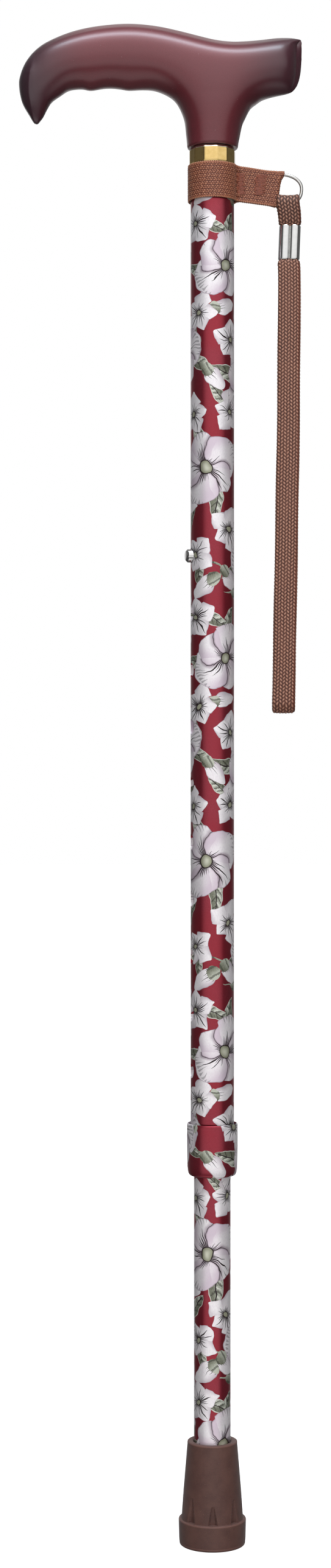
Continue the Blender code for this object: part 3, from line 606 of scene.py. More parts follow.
def make_world():
    """A soft studio: a broad panel in front, dark flanks, a bright backdrop and a pale floor's glow."""
    world = bpy.data.worlds.new("studio")
    scene.world = world
    world.use_nodes = True
    world.cycles.sampling_method = "NONE"
    tree = world.node_tree
    background = tree.nodes["Background"]
    where = tree.nodes.new("ShaderNodeTexCoord")
    split = tree.nodes.new("ShaderNodeSeparateXYZ")
    tree.links.new(where.outputs["Generated"], split.inputs[0])

    def do(op, *values):
        made = tree.nodes.new("ShaderNodeMath")
        made.operation = op
        for socket, value in zip(made.inputs, values):
            if isinstance(value, bpy.types.NodeSocket):
                tree.links.new(value, socket)
            else:
                socket.default_value = value
        return made.outputs[0]

    def profile(value, stops):
        """A smooth line through (place, brightness); places run from 0 to 1."""
        made = tree.nodes.new("ShaderNodeFloatCurve")
        tree.links.new(value, made.inputs["Value"])
        curve = made.mapping.curves[0]
        while len(curve.points) < len(stops):
            curve.points.new(0.5, 0.5)
        for point, (at, height) in zip(curve.points, stops):
            point.location = (at, height)
            point.handle_type = "VECTOR"
        made.mapping.use_clip = False
        made.mapping.update()
        return made.outputs[0]

    x, y, z = split.outputs
    height = do("MULTIPLY_ADD", do("ARCSINE", z), 1 / math.pi, 0.5)  # 0 straight down, 1 straight up

    def el(degrees):
        return degrees / 180 + 0.5

    # the panel in front stands a little to the right at eye height and a little to the left below
    lean = profile(
        height,
        [(0.0, 0.39), (el(-10), 0.39), (el(0), 0.5), (el(5), 0.66), (el(9), 0.81), (el(18), 0.81), (el(30), 0.6), (1.0, 0.6)],
    )
    signed = do("DIVIDE", do("ARCTAN2", x, do("MULTIPLY", y, -1.0)), math.pi)
    azimuth = do("ABSOLUTE", do("SUBTRACT", signed, do("MULTIPLY", do("SUBTRACT", lean, 0.5), 0.2)))

    front_round = profile(azimuth, [(0.0, 1.0), (22 / 180, 0.99), (40 / 180, 0.88), (50 / 180, 0.56), (60 / 180, 0.0), (1.0, 0.0)])
    front_up = profile(
        height,
        [(0.0, 0.0), (el(-36), 0.0), (el(-22), 0.68), (el(-14), 0.74), (el(-4), 0.58), (el(3), 0.62), (el(15), 0.92), (1.0, 0.92)],
    )
    above_round = profile(azimuth, [(0.0, 1.0), (60 / 180, 1.0), (95 / 180, 0.25), (1.0, 0.25)])
    above_up = profile(height, [(0.0, 0.0), (el(40), 0.0), (el(54), 0.85), (el(70), 1.0), (el(80), 0.15), (1.0, 0.1)])
    back_round = profile(
        azimuth,
        [(0.0, 0.0), (58 / 180, 0.0), (66 / 180, 0.0), (72 / 180, 0.16), (112 / 180, 0.15), (118 / 180, 0.06), (124 / 180, 0.08), (129 / 180, 0.34), (136 / 180, 0.34), (142 / 180, 0.10), (150 / 180, 0.2), (160 / 180, 1.0), (1.0, 1.0)],
    )
    back_up = profile(height, [(0.0, 0.0), (el(-32), 0.05), (el(-10), 1.0), (el(66), 1.0), (el(79), 0.1), (1.0, 0.1)])
    below = do(
        "MULTIPLY",
        profile(height, [(0.0, 0.75), (el(-58), 0.75), (el(-36), 0.0), (1.0, 0.0)]),
        profile(azimuth, [(0.0, 1.0), (60 / 180, 1.0), (110 / 180, 0.15), (1.0, 0.1)]),
    )
    above = do("MULTIPLY", do("MULTIPLY", above_round, above_up), ABOVE_LIGHT)
    ray = tree.nodes.new("ShaderNodeLightPath")
    diffuse = ray.outputs["Is Diffuse Ray"]
    matt = do("SUBTRACT", 1.0, do("MULTIPLY", diffuse, 0.9))
    # matt surfaces are lit from a narrower window, so that they darken faster towards their sides
    narrow = profile(azimuth, [(0.0, 1.0), (19 / 180, 0.95), (33 / 180, 0.0), (1.0, 0.0)])
    wide_share = do("MULTIPLY", front_round, do("SUBTRACT", 1.0, diffuse))
    front_round = do("ADD", wide_share, do("MULTIPLY", do("MULTIPLY", narrow, diffuse), NARROW_GAIN))
    front = do("MULTIPLY", do("MULTIPLY", front_round, front_up), FRONT_LIGHT)
    back = do("MULTIPLY", do("MULTIPLY", do("MULTIPLY", back_round, back_up), 0.6), matt)
    # a window straight behind, which surfaces seen from the front don't face
    behind = profile(azimuth, [(0.0, 0.0), (150 / 180, 0.0), (165 / 180, 1.0), (1.0, 1.0)])
    back = do("ADD", back, do("MULTIPLY", do("MULTIPLY", behind, back_up), do("MULTIPLY", diffuse, 1.2)))
    total = do("ADD", do("ADD", do("ADD", front, above), back), do("ADD", below, SIDE_LIGHT))
    seen = do("ADD", do("MULTIPLY", ray.outputs["Is Camera Ray"], 1.0), do("MULTIPLY", do("SUBTRACT", 1.0, ray.outputs["Is Camera Ray"]), total))
    tree.links.new(seen, background.inputs["Strength"])
    background.inputs["Color"].default_value = (1, 1, 1, 1)


def area_light(name, place, target, width, height, power, colour=(1, 1, 1), spread=180):
    data = bpy.data.lights.new(name, "AREA")
    data.shape = "RECTANGLE"
    data.size, data.size_y = width, height
    data.energy = power
    data.color = colour
    data.spread = math.radians(spread)
    made = bpy.data.objects.new(name, data)
    made.location = place
    way = Vector(target) - Vector(place)
    made.rotation_euler = way.to_track_quat("-Z", "Y").to_euler()
    made.visible_camera = False
    scene.collection.objects.link(made)
    return made


FRONT_LIGHT, NARROW_GAIN, ABOVE_LIGHT, SIDE_LIGHT = 1.36, 1.85, 0.9, 0.04
make_stage()
make_world()
area_light("overhead", (-0.02, -0.34, 1.49), (-0.02, 0.0, 0.65), 0.90, 0.20, 4.6, (0.80, 1.00, 1.14))


# ----------------------------------------------------------- printed shafts
TILE = 171.0


def spots_for(kind, ring):
    """Where the motifs of one kind stand: (place round, height, size, turn, seed)."""
    large = [
        (-3.0, 128.0, 17.2), (6.0, 45.0, 16.0), (27.0, 88.0, 16.8), (-21.0, 6.0, 16.2),
        (-27.5, 98.0, 14.4), (20.0, 164.0, 15.2),
    ]
    medium = [
        (7.8, 101.0, 10.4), (-8.6, 90.0, 9.6), (-8.6, 63.0, 10.8), (-6.4, 24.0, 10.2),
        (9.3, 12.5, 10.4), (8.6, 152.5, 9.8), (-10.5, 151.5, 10.0), (24.0, 62.0, 10.6),
        (21.0, 28.0, 10.2), (-22.0, 38.0, 10.8), (-20.5, 70.0, 10.2), (-24.0, 132.0, 10.6),
        (22.0, 118.0, 10.4), (22.5, 139.0, 9.6), (28.5, 11.0, 9.6),
    ]
    buds = [
        (8.6, 79.5, 7.4), (-3.5, 76.5, 7.6), (-9.0, 8.0, 7.0), (0.5, 167.0, 7.6),
        (5.0, 27.0, 6.6), (16.0, 108.0, 7.4), (16.0, 74.0, 7.0), (-15.0, 112.0, 7.6),
        (-19.0, 162.0, 7.6), (13.0, 0.0, 7.2), (-16.0, 54.0, 6.8), (27.0, 42.0, 7.4),
    ]
    chosen = {"large": large, "medium": medium, "buds": buds}[kind]
    mine = np.random.default_rng({"large": 3, "medium": 5, "buds": 9}[kind])
    out = []
    for n, (u, v, size) in enumerate(chosen):
        out.append((u * ring, v, size, float(mine.uniform(0, 2 * math.pi)), float(mine.uniform(0.05, 0.95))))
    return out


LEAVES = {"large": (4, 3, 4, 3, 4, 3), "medium": (1, 1, 1, 0, 1, 1, 1, 1, 0, 1, 1, 1, 0, 1, 1)}


def leaves_for(ring):
    """Leaves that spread from under the blossoms, and a few between them."""
    mine = np.random.default_rng(21)
    out = []
    for kind, many in LEAVES.items():
        for (u, v, size, turn, seed), count in zip(spots_for(kind, ring), many):
            first = mine.uniform(0, 2 * math.pi)
            for k in range(count):
                a = first + 2 * math.pi * k / max(count, 1) + mine.uniform(-0.3, 0.3)
                reach = size * 0.92 if kind == "large" else size * 0.95
                half = float(mine.uniform(8.0, 10.4) if kind == "large" else mine.uniform(6.2, 8.2))
                tilt = a + mine.uniform(-0.35, 0.35)
                out.append(
                    (
                        u + math.cos(a) * reach,
                        (v + math.sin(a) * reach) % TILE,
                        half,
                        tilt,
                        float(mine.uniform(0.05, 0.95)),
                    )
                )
    return out


def nearest(net, p, spots, around, aspect):
    """The local place in the nearest of these motifs, from -1 to 1 over its length, and how near that is."""
    best, where = None, None
    for u, v, size, turn, seed in spots:
        wrap = p.vec("WRAP", (u + around / 2, v + TILE / 2, 50.0), (u - around / 2, v - TILE / 2, -50.0))
        made = net.node("ShaderNodeMapping", vector_type="TEXTURE")
        net.feed(made.inputs["Vector"], wrap)
        made.inputs["Location"].default_value = (u, v, -0.02 * seed)
        made.inputs["Rotation"].default_value = (0, 0, turn)
        made.inputs["Scale"].default_value = (size, size * aspect, 1)
        q = Val(net, made.outputs[0])
        far = q.vec("LENGTH")
        if best is None:
            best, where = far, q
        else:
            where = net.mix(far.below(best), where, q, "VECTOR")
            best = best.low(far)
    return where, best


WHITE, LILAC, SHADE = rgb(252, 247, 249), rgb(216, 198, 212), rgb(166, 146, 160)
INK, SAGE, SAGE_LIGHT, SAGE_DARK = rgb(42, 26, 30), rgb(122, 124, 106), rgb(196, 199, 184), rgb(62, 60, 50)
GROUND = (0.31, 0.034, 0.054)


def brush_strokes(slope, r, index, seed, gap, start, reach, wide=0.42):
    """Dark strokes that fan out from the heart, each to a point at its own length."""
    lane = slope / gap + 0.5
    which = lane.floor()
    off = (lane - which - 0.5).abs()
    own = (which * 3.17 + index * 7.31 + seed * 29.0).sin() * 0.5 + 0.5
    long = (own * 0.6 + 0.4) * (1.0 - which.abs() * 0.15).high(0.12) * reach
    return off.below((1.0 - (r - start) / long) * wide) * r.above(start)


def blossom(net, q, fine):
    """A broad open flower of five overlapping petals: (cover, colour)."""
    x, y, seed = q.parts()
    seed = seed * 50.0
    r = (x * x + y * y).root()
    turn = y.do("ARCTAN2", x) * (5 / (2 * math.pi)) + 10.0
    index = (turn + 0.5).floor()
    off = (turn - index) * (2 * math.pi / 5)  # from the petal's own middle line, in radians

    def petal(shift):
        """Across and along the petal that stands shift sectors on, and how far out of it this is."""
        angle = off - shift * (2 * math.pi / 5) if shift else off
        own = ((index + shift) * 2.39 + seed * 9.0).sin() * 0.11
        along = r * angle.cos()
        across = r * angle.sin()
        reach = own + 0.93
        middle = reach * 0.55
        half = reach * 0.46
        a = (along - middle) / half
        b = across / ((0.50 + own * 0.6) * (1.0 - a.high(0.0) * 0.24))
        return (a * a + b * b).root(), along, across

    own_e, own_a, own_c = petal(0)
    over_e, over_a, over_c = petal(-1)
    under_e, under_a, under_c = petal(1)
    use_over = over_e.below(1.0)
    use_under = own_e.above(1.0) * under_e.below(1.0) * (1.0 - use_over)
    e = net.mix(use_over, net.mix(use_under, own_e, under_e, "FLOAT"), over_e, "FLOAT")
    along = net.mix(use_over, net.mix(use_under, own_a, under_a, "FLOAT"), over_a, "FLOAT")
    across = net.mix(use_over, net.mix(use_under, own_c, under_c, "FLOAT"), over_c, "FLOAT")
    core = r.below(0.16)
    cover = e.below(1.0).high(core)
    # shading: the petal that lies over throws a soft shade on the one under it
    shade = (over_e.ramp(1.0, 1.28, 1.0, 0.0)) * (1.0 - use_over)
    edge = e.ramp(0.86, 0.99, 0.0, 0.55)
    colour = net.mix(fine.ramp(0.3, 0.8) * 0.30, WHITE, LILAC)
    colour = net.mix((across * 2.4 + (index * 4.1).sin() * 0.2).ramp(0.15, 1.1) * 0.9, colour, LILAC)
    colour = net.mix(shade * 0.9, colour, SHADE)
    colour = net.mix(edge * 0.4, colour, LILAC)
    colour = net.mix(r.ramp(0.5, 0.15) * 0.45, colour, LILAC)
    # dark brush strokes that fan out from the heart and taper
    slope = across / along.high(0.06) + r * r * ((index * 5.3 + seed * 17.0).sin() * 0.22)
    reach = ((index * 3.7 + seed * 21.0).sin()) * 0.20 + 0.60
    stroke = brush_strokes(slope, r, index, seed, 0.15, 0.13, reach, 0.50)
    # and a few that come in from the petal's tip
    tip = brush_strokes(slope, 1.02 - r, index + 3.0, seed, 0.11, 0.05, reach * 0.55, 0.34)
    dark = stroke * e.below(0.99)
    colour = net.mix(tip * e.below(0.99) * 0.5, colour, rgb(96, 80, 90))
    line = e.above(0.965)
    colour = net.mix(line * 0.6, colour, SHADE)
    fold_line = over_e.above(1.0) * over_e.below(1.045) * r.above(0.2)
    colour = net.mix(fold_line * 0.75, colour, INK)
    colour = net.mix(dark, colour, INK)
    knob = r.ramp(0.0, 0.15)
    heart = net.mix(knob, rgb(214, 214, 196), rgb(150, 150, 126))
    colour = net.mix(r.below(0.175), colour, INK)
    colour = net.mix(r.below(0.145), colour, heart)
    return cover, colour


def flower(net, q, fine):
    """A small flower of five pointed petals."""
    x, y, seed = q.parts()
    seed = seed * 50.0
    r = (x * x + y * y).root()
    turn = y.do("ARCTAN2", x) * (5 / (2 * math.pi)) + 10.0
    index = (turn + 0.5).floor()
    off = (turn - index) * (2 * math.pi / 5)
    size = (index * 2.9 + seed * 13.0).sin() * 0.12 + 0.9
    along = r * off.cos() / size
    across = r * off.sin() / size
    half = ((along.high(0.0).low(1.0) ** 0.80) * math.pi).sin() * 0.47 + 0.03
    inside = across.abs() / half.high(0.01)
    cover = (inside.below(1.0) * along.below(1.0)).high(r.below(0.16))
    colour = net.mix(fine.ramp(0.3, 0.8) * 0.3, WHITE, LILAC)
    colour = net.mix((across / half.high(0.01)).ramp(0.2, 1.0) * 0.45, colour, SHADE)
    colour = net.mix(inside.above(0.93) * 0.6, colour, SHADE)
    slope = across / along.high(0.08) + r * r * ((index * 4.3 + seed * 13.0).sin() * 0.25)
    reach = (index * 5.1 + seed * 17.0).sin() * 0.18 + 0.62
    stroke = brush_strokes(slope, r, index, seed, 0.20, 0.10, reach, 0.55)
    colour = net.mix(stroke * inside.below(0.97), colour, INK)
    colour = net.mix(r.below(0.10), colour, rgb(176, 176, 152))
    return cover, colour


def leaf(net, q, fine):
    """A lance-shaped leaf with a pale side, a dark midrib and brushed veins."""
    x, y, seed = q.parts()
    seed = seed * 50.0
    bend = y + (x * x - 0.4) * ((seed * 31.0).sin() * 0.5)
    half = ((1.0 - x * x).high(0.0)) ** 0.8 * (1.0 - x * 0.28)
    inside = bend.abs() / half.high(0.01)
    cover = inside.below(1.0) * x.abs().below(1.0)
    colour = net.mix((bend / half.high(0.01)).ramp(-0.6, 0.7), SAGE, SAGE_LIGHT)
    colour = net.mix(fine.ramp(0.45, 0.7) * 0.6, colour, SAGE_DARK)
    vein = ((x * 1.0 - bend.abs() * 0.35) * 17.0 + fine * 3.0).sin()
    colour = net.mix(vein.above(0.72) * inside.below(0.85) * 0.75, colour, SAGE_DARK)
    pale = ((x * 1.0 - bend.abs() * 0.35) * 17.0 + fine * 3.0 + 2.4).sin()
    colour = net.mix(pale.above(0.62) * (bend.above(0.0)) * inside.below(0.8) * 0.8, colour, rgb(226, 226, 216))
    colour = net.mix(bend.abs().below(0.07) * x.below(0.86), colour, INK)
    colour = net.mix(inside.above(0.87) * 0.85, colour, rgb(222, 220, 212))
    return cover, colour


def bud(net, q, fine):
    """A closed bud on its sepal, with a few dark strokes."""
    x, y, seed = q.parts()
    seed = seed * 50.0
    body = ((1.0 - ((x - 0.12) / 0.86) ** 2).high(0.0)) ** 0.55 * (1.0 - x * 0.25)
    cup = ((1.0 - ((x + 0.62) / 0.40) ** 2).high(0.0)) ** 0.6 * 0.78
    stem_at = y + (x + 0.8) * (x + 0.8) * ((seed * 23.0).sin() * 1.1)
    stem = stem_at.abs().below(0.10) * x.below(-0.7) * x.above(-1.75)
    inside = y.abs() / body.high(0.01)
    cover_body = inside.below(1.0) * ((x - 0.12).abs()).below(0.86)
    cover_cup = (y.abs() / cup.high(0.01)).below(1.0) * ((x + 0.62).abs()).below(0.40)
    cover = cover_body.high(cover_cup).high(stem)
    colour = net.mix(fine.ramp(0.3, 0.8) * 0.3, WHITE, LILAC)
    colour = net.mix(y.ramp(0.1, 0.9) * 0.55, colour, SHADE)
    colour = net.mix(inside.above(0.93) * 0.5, colour, SHADE)
    stroke = brush_strokes(y + x * x * 0.15, x + 0.62, seed * 3.0, seed, 0.17, 0.0, 1.05)
    colour = net.mix(stroke * inside.below(0.9), colour, INK)
    green = net.mix((y + fine * 0.6).ramp(-0.2, 0.7), SAGE, SAGE_LIGHT)
    green = net.mix((y * 7.0 + x * 2.0 + fine * 1.5).sin().above(0.72) * 0.7, green, SAGE_DARK)
    colour = net.mix(cover_cup.high(stem), colour, green)
    return cover, colour


def printed(name, radius):
    """Deep metallic red under a printed design of blossoms, buds and leaves."""
    net = Net(name)
    where = net.place()
    x, y, z = where.parts()
    around = 2 * math.pi * radius
    ring = around / 59.7
    u = x.do("ARCTAN2", y * -1.0) * radius
    wobble = net.noise(where, 0.16, 1.5, 0.5, colour=True).vec("SUBTRACT", (0.5, 0.5, 0.5)).vec("SCALE", scale=3.4)
    p = net.combine(u, z, 0.0).vec("ADD", wobble).vec("MULTIPLY", (1.0, 1.0, 0.0))
    fine = net.noise(where, 0.9, 3, 0.6)
    strokes = net.noise(where.vec("MULTIPLY", (1.0, 1.0, 0.45)), 2.6, 2, 0.5)

    speckle = net.noise(where, 5.5, 2, 0.7)
    ground = net.mix(speckle.ramp(0.35, 0.68), tuple(c * 0.78 for c in GROUND), tuple(min(1.0, c * 1.22) for c in GROUND))
    ground = net.mix(net.noise(where, 0.06, 2).ramp(0.3, 0.7), ground, net.mix(0.5, ground, (0.33, 0.016, 0.03)))
    colour, covered = ground, None
    layers = []
    leaf_q, leaf_e = nearest(net, p, leaves_for(ring), around, 0.34)
    layers.append(leaf(net, leaf_q, strokes))
    bud_q, bud_e = nearest(net, p, spots_for("buds", ring), around, 0.52)
    layers.append(bud(net, bud_q, strokes))
    small_q, small_e = nearest(net, p, spots_for("medium", ring), around, 1.0)
    layers.append(flower(net, small_q, strokes))
    big_q, big_e = nearest(net, p, spots_for("large", ring), around, 1.0)
    layers.append(blossom(net, big_q, strokes))
    for cover, paint in layers:
        colour = net.mix(cover, colour, paint)
        covered = cover if covered is None else covered.high(cover)
    net.set(
        Base_Color=colour,
        Metallic=covered.ramp(0.0, 1.0, 0.82, 0.42),
        Roughness=(fine * 0.08 + 0.27) + covered * 0.05,
    )
    net.shader.inputs["Coat Weight"].default_value = 0.25
    net.shader.inputs["Coat Roughness"].default_value = 0.12
    grain = net.bump(net.noise(where, 3.0, 2), 0.03, 0.35)
    net.set(Normal=grain)
    return net.material


PRINT_UP = printed("upper_tube_print", 9.5)
PRINT_LOW = printed("lower_tube_print", 8.0)
PRINT_RING = printed("lock_collar_print", 11.1)


# -------------------------------------------------------- tubes and collar
BUTTON_Z = 432.0
BUTTON_ANGLE = math.radians(192)


def drilled_tube(name, outer, bore, low, high, holes, body, node, material, slot):
    top = [(outer, z) for z in np.linspace(low + 0.4, high - 0.4, 14)]
    profile = [
        (bore, low + 0.25),
        (bore + 0.25, low),
        (outer - 0.3, low),
        (outer - 0.08, low + 0.1),
        *top,
        (outer - 0.08, high - 0.1),
        (outer - 0.3, high),
        (bore + 0.25, high),
        (bore, high - 0.25),
    ]
    made = piece(name, *turned(profile, 144), body, (node,), 35, slot)
    cutters = []
    for z in holes:
        ring = [
            (0.0, bore - 2.0),
            (3.25, bore - 2.0),
            (3.25, outer - 0.42),
            (3.32, outer - 0.22),
            (3.75, outer + 0.5),
            (0.0, outer + 0.5),
        ]
        points, faces = turned(ring, 40)
        # the cutter's own axis turns from Z to the way of the button
        p = np.array(points)
        c, s = math.cos(BUTTON_ANGLE), math.sin(BUTTON_ANGLE)
        out = p[:, 2]
        across = p[:, 0]
        up = p[:, 1]
        moved = np.stack([out * c - across * s, out * s + across * c, up + z], 1)
        cutters.append((moved, faces))
    if cutters:
        cutter = piece(name + "_cut", *joined(*cutters))
        cut(made, cutter)
        smooth_again(made, 35)
    made.data.materials.clear()
    made.data.materials.append(material)
    return made


drilled_tube(
    "upper_shaft_skin", 9.5, 8.3, 171.5, 602.3, [BUTTON_Z - 25.0 * k for k in range(10)],
    "upper_shaft", "upper_tube", PRINT_UP, "upper_tube",
)
drilled_tube(
    "lower_shaft_skin", 8.0, 6.9, 7.8, 478.0, [BUTTON_Z], "lower_shaft", "lower_tube", PRINT_LOW, "lower_tube"
)


def lock_collar():
    """The locking nut: barrel-sided, round at the bottom, with a thin raised rim at the top."""
    inner_top, inner_low = 10.55, 8.3
    profile = [(8.3, 161.4), *rounded((8.75, 161.55), 0.45, 180, 270, 3)[1:], (9.0, 161.1)]
    profile += [(9.35, 161.14), (9.75, 161.3), (10.12, 161.62), (10.42, 162.1), (10.62, 162.75), (10.76, 163.7)]
    for z in np.linspace(165.0, 181.6, 14):
        profile.append((10.86 + 0.24 * math.sin((z - 163.0) / 20.0 * math.pi * 0.72), z))
    profile += [(11.08, 182.5), (11.09, 183.1), (11.06, 183.5), (10.98, 183.78), (10.84, 183.94), (10.66, 184.0)]
    profile += [(10.56, 183.93), (10.52, 183.7), (10.5, 182.6), (10.5, 170.8), (9.6, 169.4), (8.3, 169.0), (8.3, 165.0)]
    made = piece("lock_collar_skin", *turned(profile, 144), "lock_collar", ("lock_collar",), 40, "lock_collar")
    made.data.materials.append(PRINT_RING)
    return made


lock_collar()


# -------------------------------------------------------------- snap button
def metal(name, colour, rough, dirt=0.3, scale=0.6, bump=0.02, brushed=None):
    """Plated or polished metal with faint smudges and hairline marks."""
    net = Net(name)
    where = net.place()
    smudge = net.noise(where, scale, 4, 0.6)
    marks = net.noise(where.vec("MULTIPLY", brushed or (3.0, 3.0, 0.5)), 1.4, 3, 0.6)
    base = net.mix(smudge.ramp(0.35, 0.75), colour, tuple(c * (1 - dirt * 0.35) for c in colour))
    net.set(Base_Color=base, Roughness=(smudge * 0.10 + (rough - 0.05)) + marks * 0.05)
    net.shader.inputs["Metallic"].default_value = 1.0
    net.set(Normal=net.bump(marks, bump, 0.3))
    return net.material


BUTTON_METAL = metal("button_steel", (0.74, 0.73, 0.72), 0.07)


def snap_button():
    """A stepped, domed button that stands out of the shaft."""
    profile = [
        (0.0, 4.4), (2.4, 4.4), (2.62, 4.5), (2.7, 4.7), (2.7, 6.9), (2.95, 7.1), (2.95, 9.6), (2.95, 10.9),
        (2.93, 11.02), (2.86, 11.12), (2.16, 11.84), (2.06, 11.92), (1.9, 11.97), (1.2, 12.0), (0.0, 12.0),
    ]
    points, faces = turned(profile, 72)
    p = np.array(points)
    c, s = math.cos(BUTTON_ANGLE), math.sin(BUTTON_ANGLE)
    moved = np.stack([p[:, 2] * c - p[:, 0] * s, p[:, 2] * s + p[:, 0] * c, p[:, 1] + BUTTON_Z], 1)
    made = piece("snap_button_cap", moved, faces, "button", ("snap_button",), 40, "snap_button")
    made.data.materials.append(BUTTON_METAL)


snap_button()


# ----------------------------------------------------------------- rubber tip
def rubber_tip():
    """The moulded ferrule: flared foot ring, flutes above it and ring treads underneath."""
    sides = 360
    cone = lambda z: 13.6 + (10.85 - 13.6) * (z - 11.3) / (44.4 - 11.3)
    profile = [(0.0, 1.2), (3.0, 1.2), (3.3, 1.0), (3.6, 0.1), (4.0, 0.0), (5.6, 0.0), (6.0, 0.1), (6.3, 1.0)]
    profile += [(6.6, 1.2), (7.6, 1.2), (7.9, 1.0), (8.2, 0.1), (8.6, 0.0), (10.2, 0.0), (10.6, 0.1), (10.9, 1.0)]
    profile += [(11.2, 1.2), (11.7, 1.2), (12.0, 1.0), (12.2, 0.1), (12.5, 0.0), (13.5, 0.0)]
    profile += [(13.95, 0.08), (14.2, 0.3), (14.32, 0.6), (14.36, 0.9), (14.33, 1.15), (14.4, 1.45), (14.46, 2.2)]
    profile += [(14.5 + 0.2 * k / 8, 3.0 + 7.3 * k / 8) for k in range(9)]
    profile += [(14.69, 10.75), (14.6, 11.05), (14.44, 11.22), (14.2, 11.3), (13.95, 11.28), (cone(11.3) + 0.12, 11.3), (cone(11.3), 11.45)]
    heights = np.concatenate([np.linspace(11.7, 24.0, 50), np.linspace(24.6, 43.6, 24)])
    profile += [(cone(z), z) for z in heights]
    profile += [(10.92, 44.2), (10.9, 44.6), (10.8, 44.86), (10.62, 44.98), (10.4, 45.0)]
    profile += [(9.4, 45.0), (8.62, 45.0), (8.42, 44.92), (8.3, 44.7), (8.3, 40.0), (8.3, 6.0), (0.0, 6.0)]
    flutes = [math.radians(45 * k) for k in range(8)]

    def radius_at(r, z, a):
        if not 11.3 < z < 26.0 or r < 9.5:
            return r
        gap = min(abs((a - f + math.pi) % (2 * math.pi) - math.pi) for f in flutes)
        which = min(range(8), key=lambda n: abs((a - flutes[n] + math.pi) % (2 * math.pi) - math.pi))
        tall = (12.4, 10.4, 11.6, 9.6, 12.2, 10.6, 8.0, 10.2)[which]
        s = (z - 11.3) / tall
        if s > 1.15:
            return r
        wide = 1.75 * (1 - 0.72 * min(1.0, s))
        x = gap * r / wide
        depth = 1.6 * (1 - min(1.0, s)) ** 0.55
        fall = 1 / (1 + math.exp((x - 1) * 12))
        return r - depth * fall

    made = piece("rubber_foot", *turned(profile, sides, radius_at=radius_at), "lower_shaft", ("tip",), 40, "tip")
    net = Net("tip_rubber")
    where = net.place()
    x, y, z = where.parts()
    cloud = net.noise(where, 0.16, 4, 0.6)
    grain = net.noise(where, 4.2, 3, 0.65)
    dots = net.cells(where, 0.42)
    base = net.mix(cloud.ramp(0.3, 0.7), rgb(76, 47, 41), rgb(90, 59, 51))
    base = net.mix(grain.ramp(0.4, 0.75) * 0.35, base, rgb(108, 75, 67))
    base = net.mix(dots.below(0.06) * 0.35, base, rgb(140, 106, 96))
    # the edges of the foot ring, the top lip and the treads are painted lighter: a painted highlight along these rims
    rim = (z - 11.05).abs().ramp(0.0, 0.55, 1.0, 0.0) + (z - 44.75).abs().ramp(0.0, 0.5, 1.0, 0.0) + (z - 1.15).abs().ramp(0.0, 0.3, 1.0, 0.0)
    base = net.mix(rim * 0.45, base, rgb(136, 96, 88))
    dust = z.ramp(0.0, 0.25, 1.0, 0.0)
    base = net.mix(dust * 0.4, base, rgb(96, 84, 78))
    net.set(Base_Color=base, Roughness=(cloud * 0.12 + 0.52) + grain * 0.05)
    net.shader.inputs["Specular IOR Level"].default_value = 0.42
    net.shader.inputs["Sheen Weight"].default_value = 0.12
    net.shader.inputs["Sheen Roughness"].default_value = 0.5
    net.set(Normal=net.bump(grain, 0.05, 0.5))
    made.data.materials.append(net.material)


rubber_tip()


# -------------------------------------------------------------- gold collar
def gold_collar():
    """Twelve flat facets between chamfers, every edge a little rounded."""
    turn = math.radians(-90 + 9.4)
    big = 10.14 * math.cos(math.pi / 12)
    sides = 12 * 16

    def facet(a, flat_r, soft):
        """Distance to the skin of a twelve-sided prism of inner radius flat_r, its corners eased by soft."""
        b = (a - turn) % (math.pi / 6) - math.pi / 12
        across = flat_r * math.tan(b)
        limit = flat_r * math.tan(math.pi / 12)
        near = limit - abs(across)
        ease = soft * max(0.0, 1 - near / (2.2 * soft)) ** 2 if soft > 0 else 0.0
        return (flat_r - ease) / math.cos(b)

    def radius_at(r, z, a):
        if r < 8.6:
            return r
        return facet(a, r * math.cos(math.pi / 12), 0.10)

    # top facets that slope in under the handle, so that they catch the light from above
    profile = [
        (8.3, 602.9), (8.5, 602.7), (9.55, 602.7), (9.9, 602.76), (10.06, 602.95), (10.14, 603.25),
        *[(10.14, z) for z in np.linspace(603.8, 608.7, 8)],
        (10.13, 609.02), (10.09, 609.14), (9.80, 609.92), (9.72, 610.08), (9.55, 610.18), (9.3, 610.2), (8.5, 610.2), (8.3, 610.0),
    ]
    made = piece("facet_collar", *turned(profile, sides, start=turn, radius_at=radius_at), "upper_shaft", ("gold_collar",), 24, "gold_collar")
    net = Net("polished_gold")
    where = net.place()
    smudge = net.noise(where, 0.5, 4, 0.6)
    lines = net.noise(where.vec("MULTIPLY", (1.0, 1.0, 6.0)), 1.2, 3, 0.6)
    base = net.mix(smudge.ramp(0.3, 0.75), (0.74, 0.53, 0.22), (0.66, 0.46, 0.17))
    # the top chamfer and edge are painted paler, almost white: a painted highlight for the bright reflection they catch
    # from above
    height = where.parts()[2]
    base = net.mix((height - 609.0).ramp(0.0, 0.12), base, (0.95, 0.90, 0.72))
    net.set(Base_Color=base, Roughness=(smudge * 0.06 + 0.07) + lines * 0.05)
    net.shader.inputs["Metallic"].default_value = 1.0
    net.set(Normal=net.bump(lines, 0.02, 0.2))
    made.data.materials.append(net.material)


gold_collar()


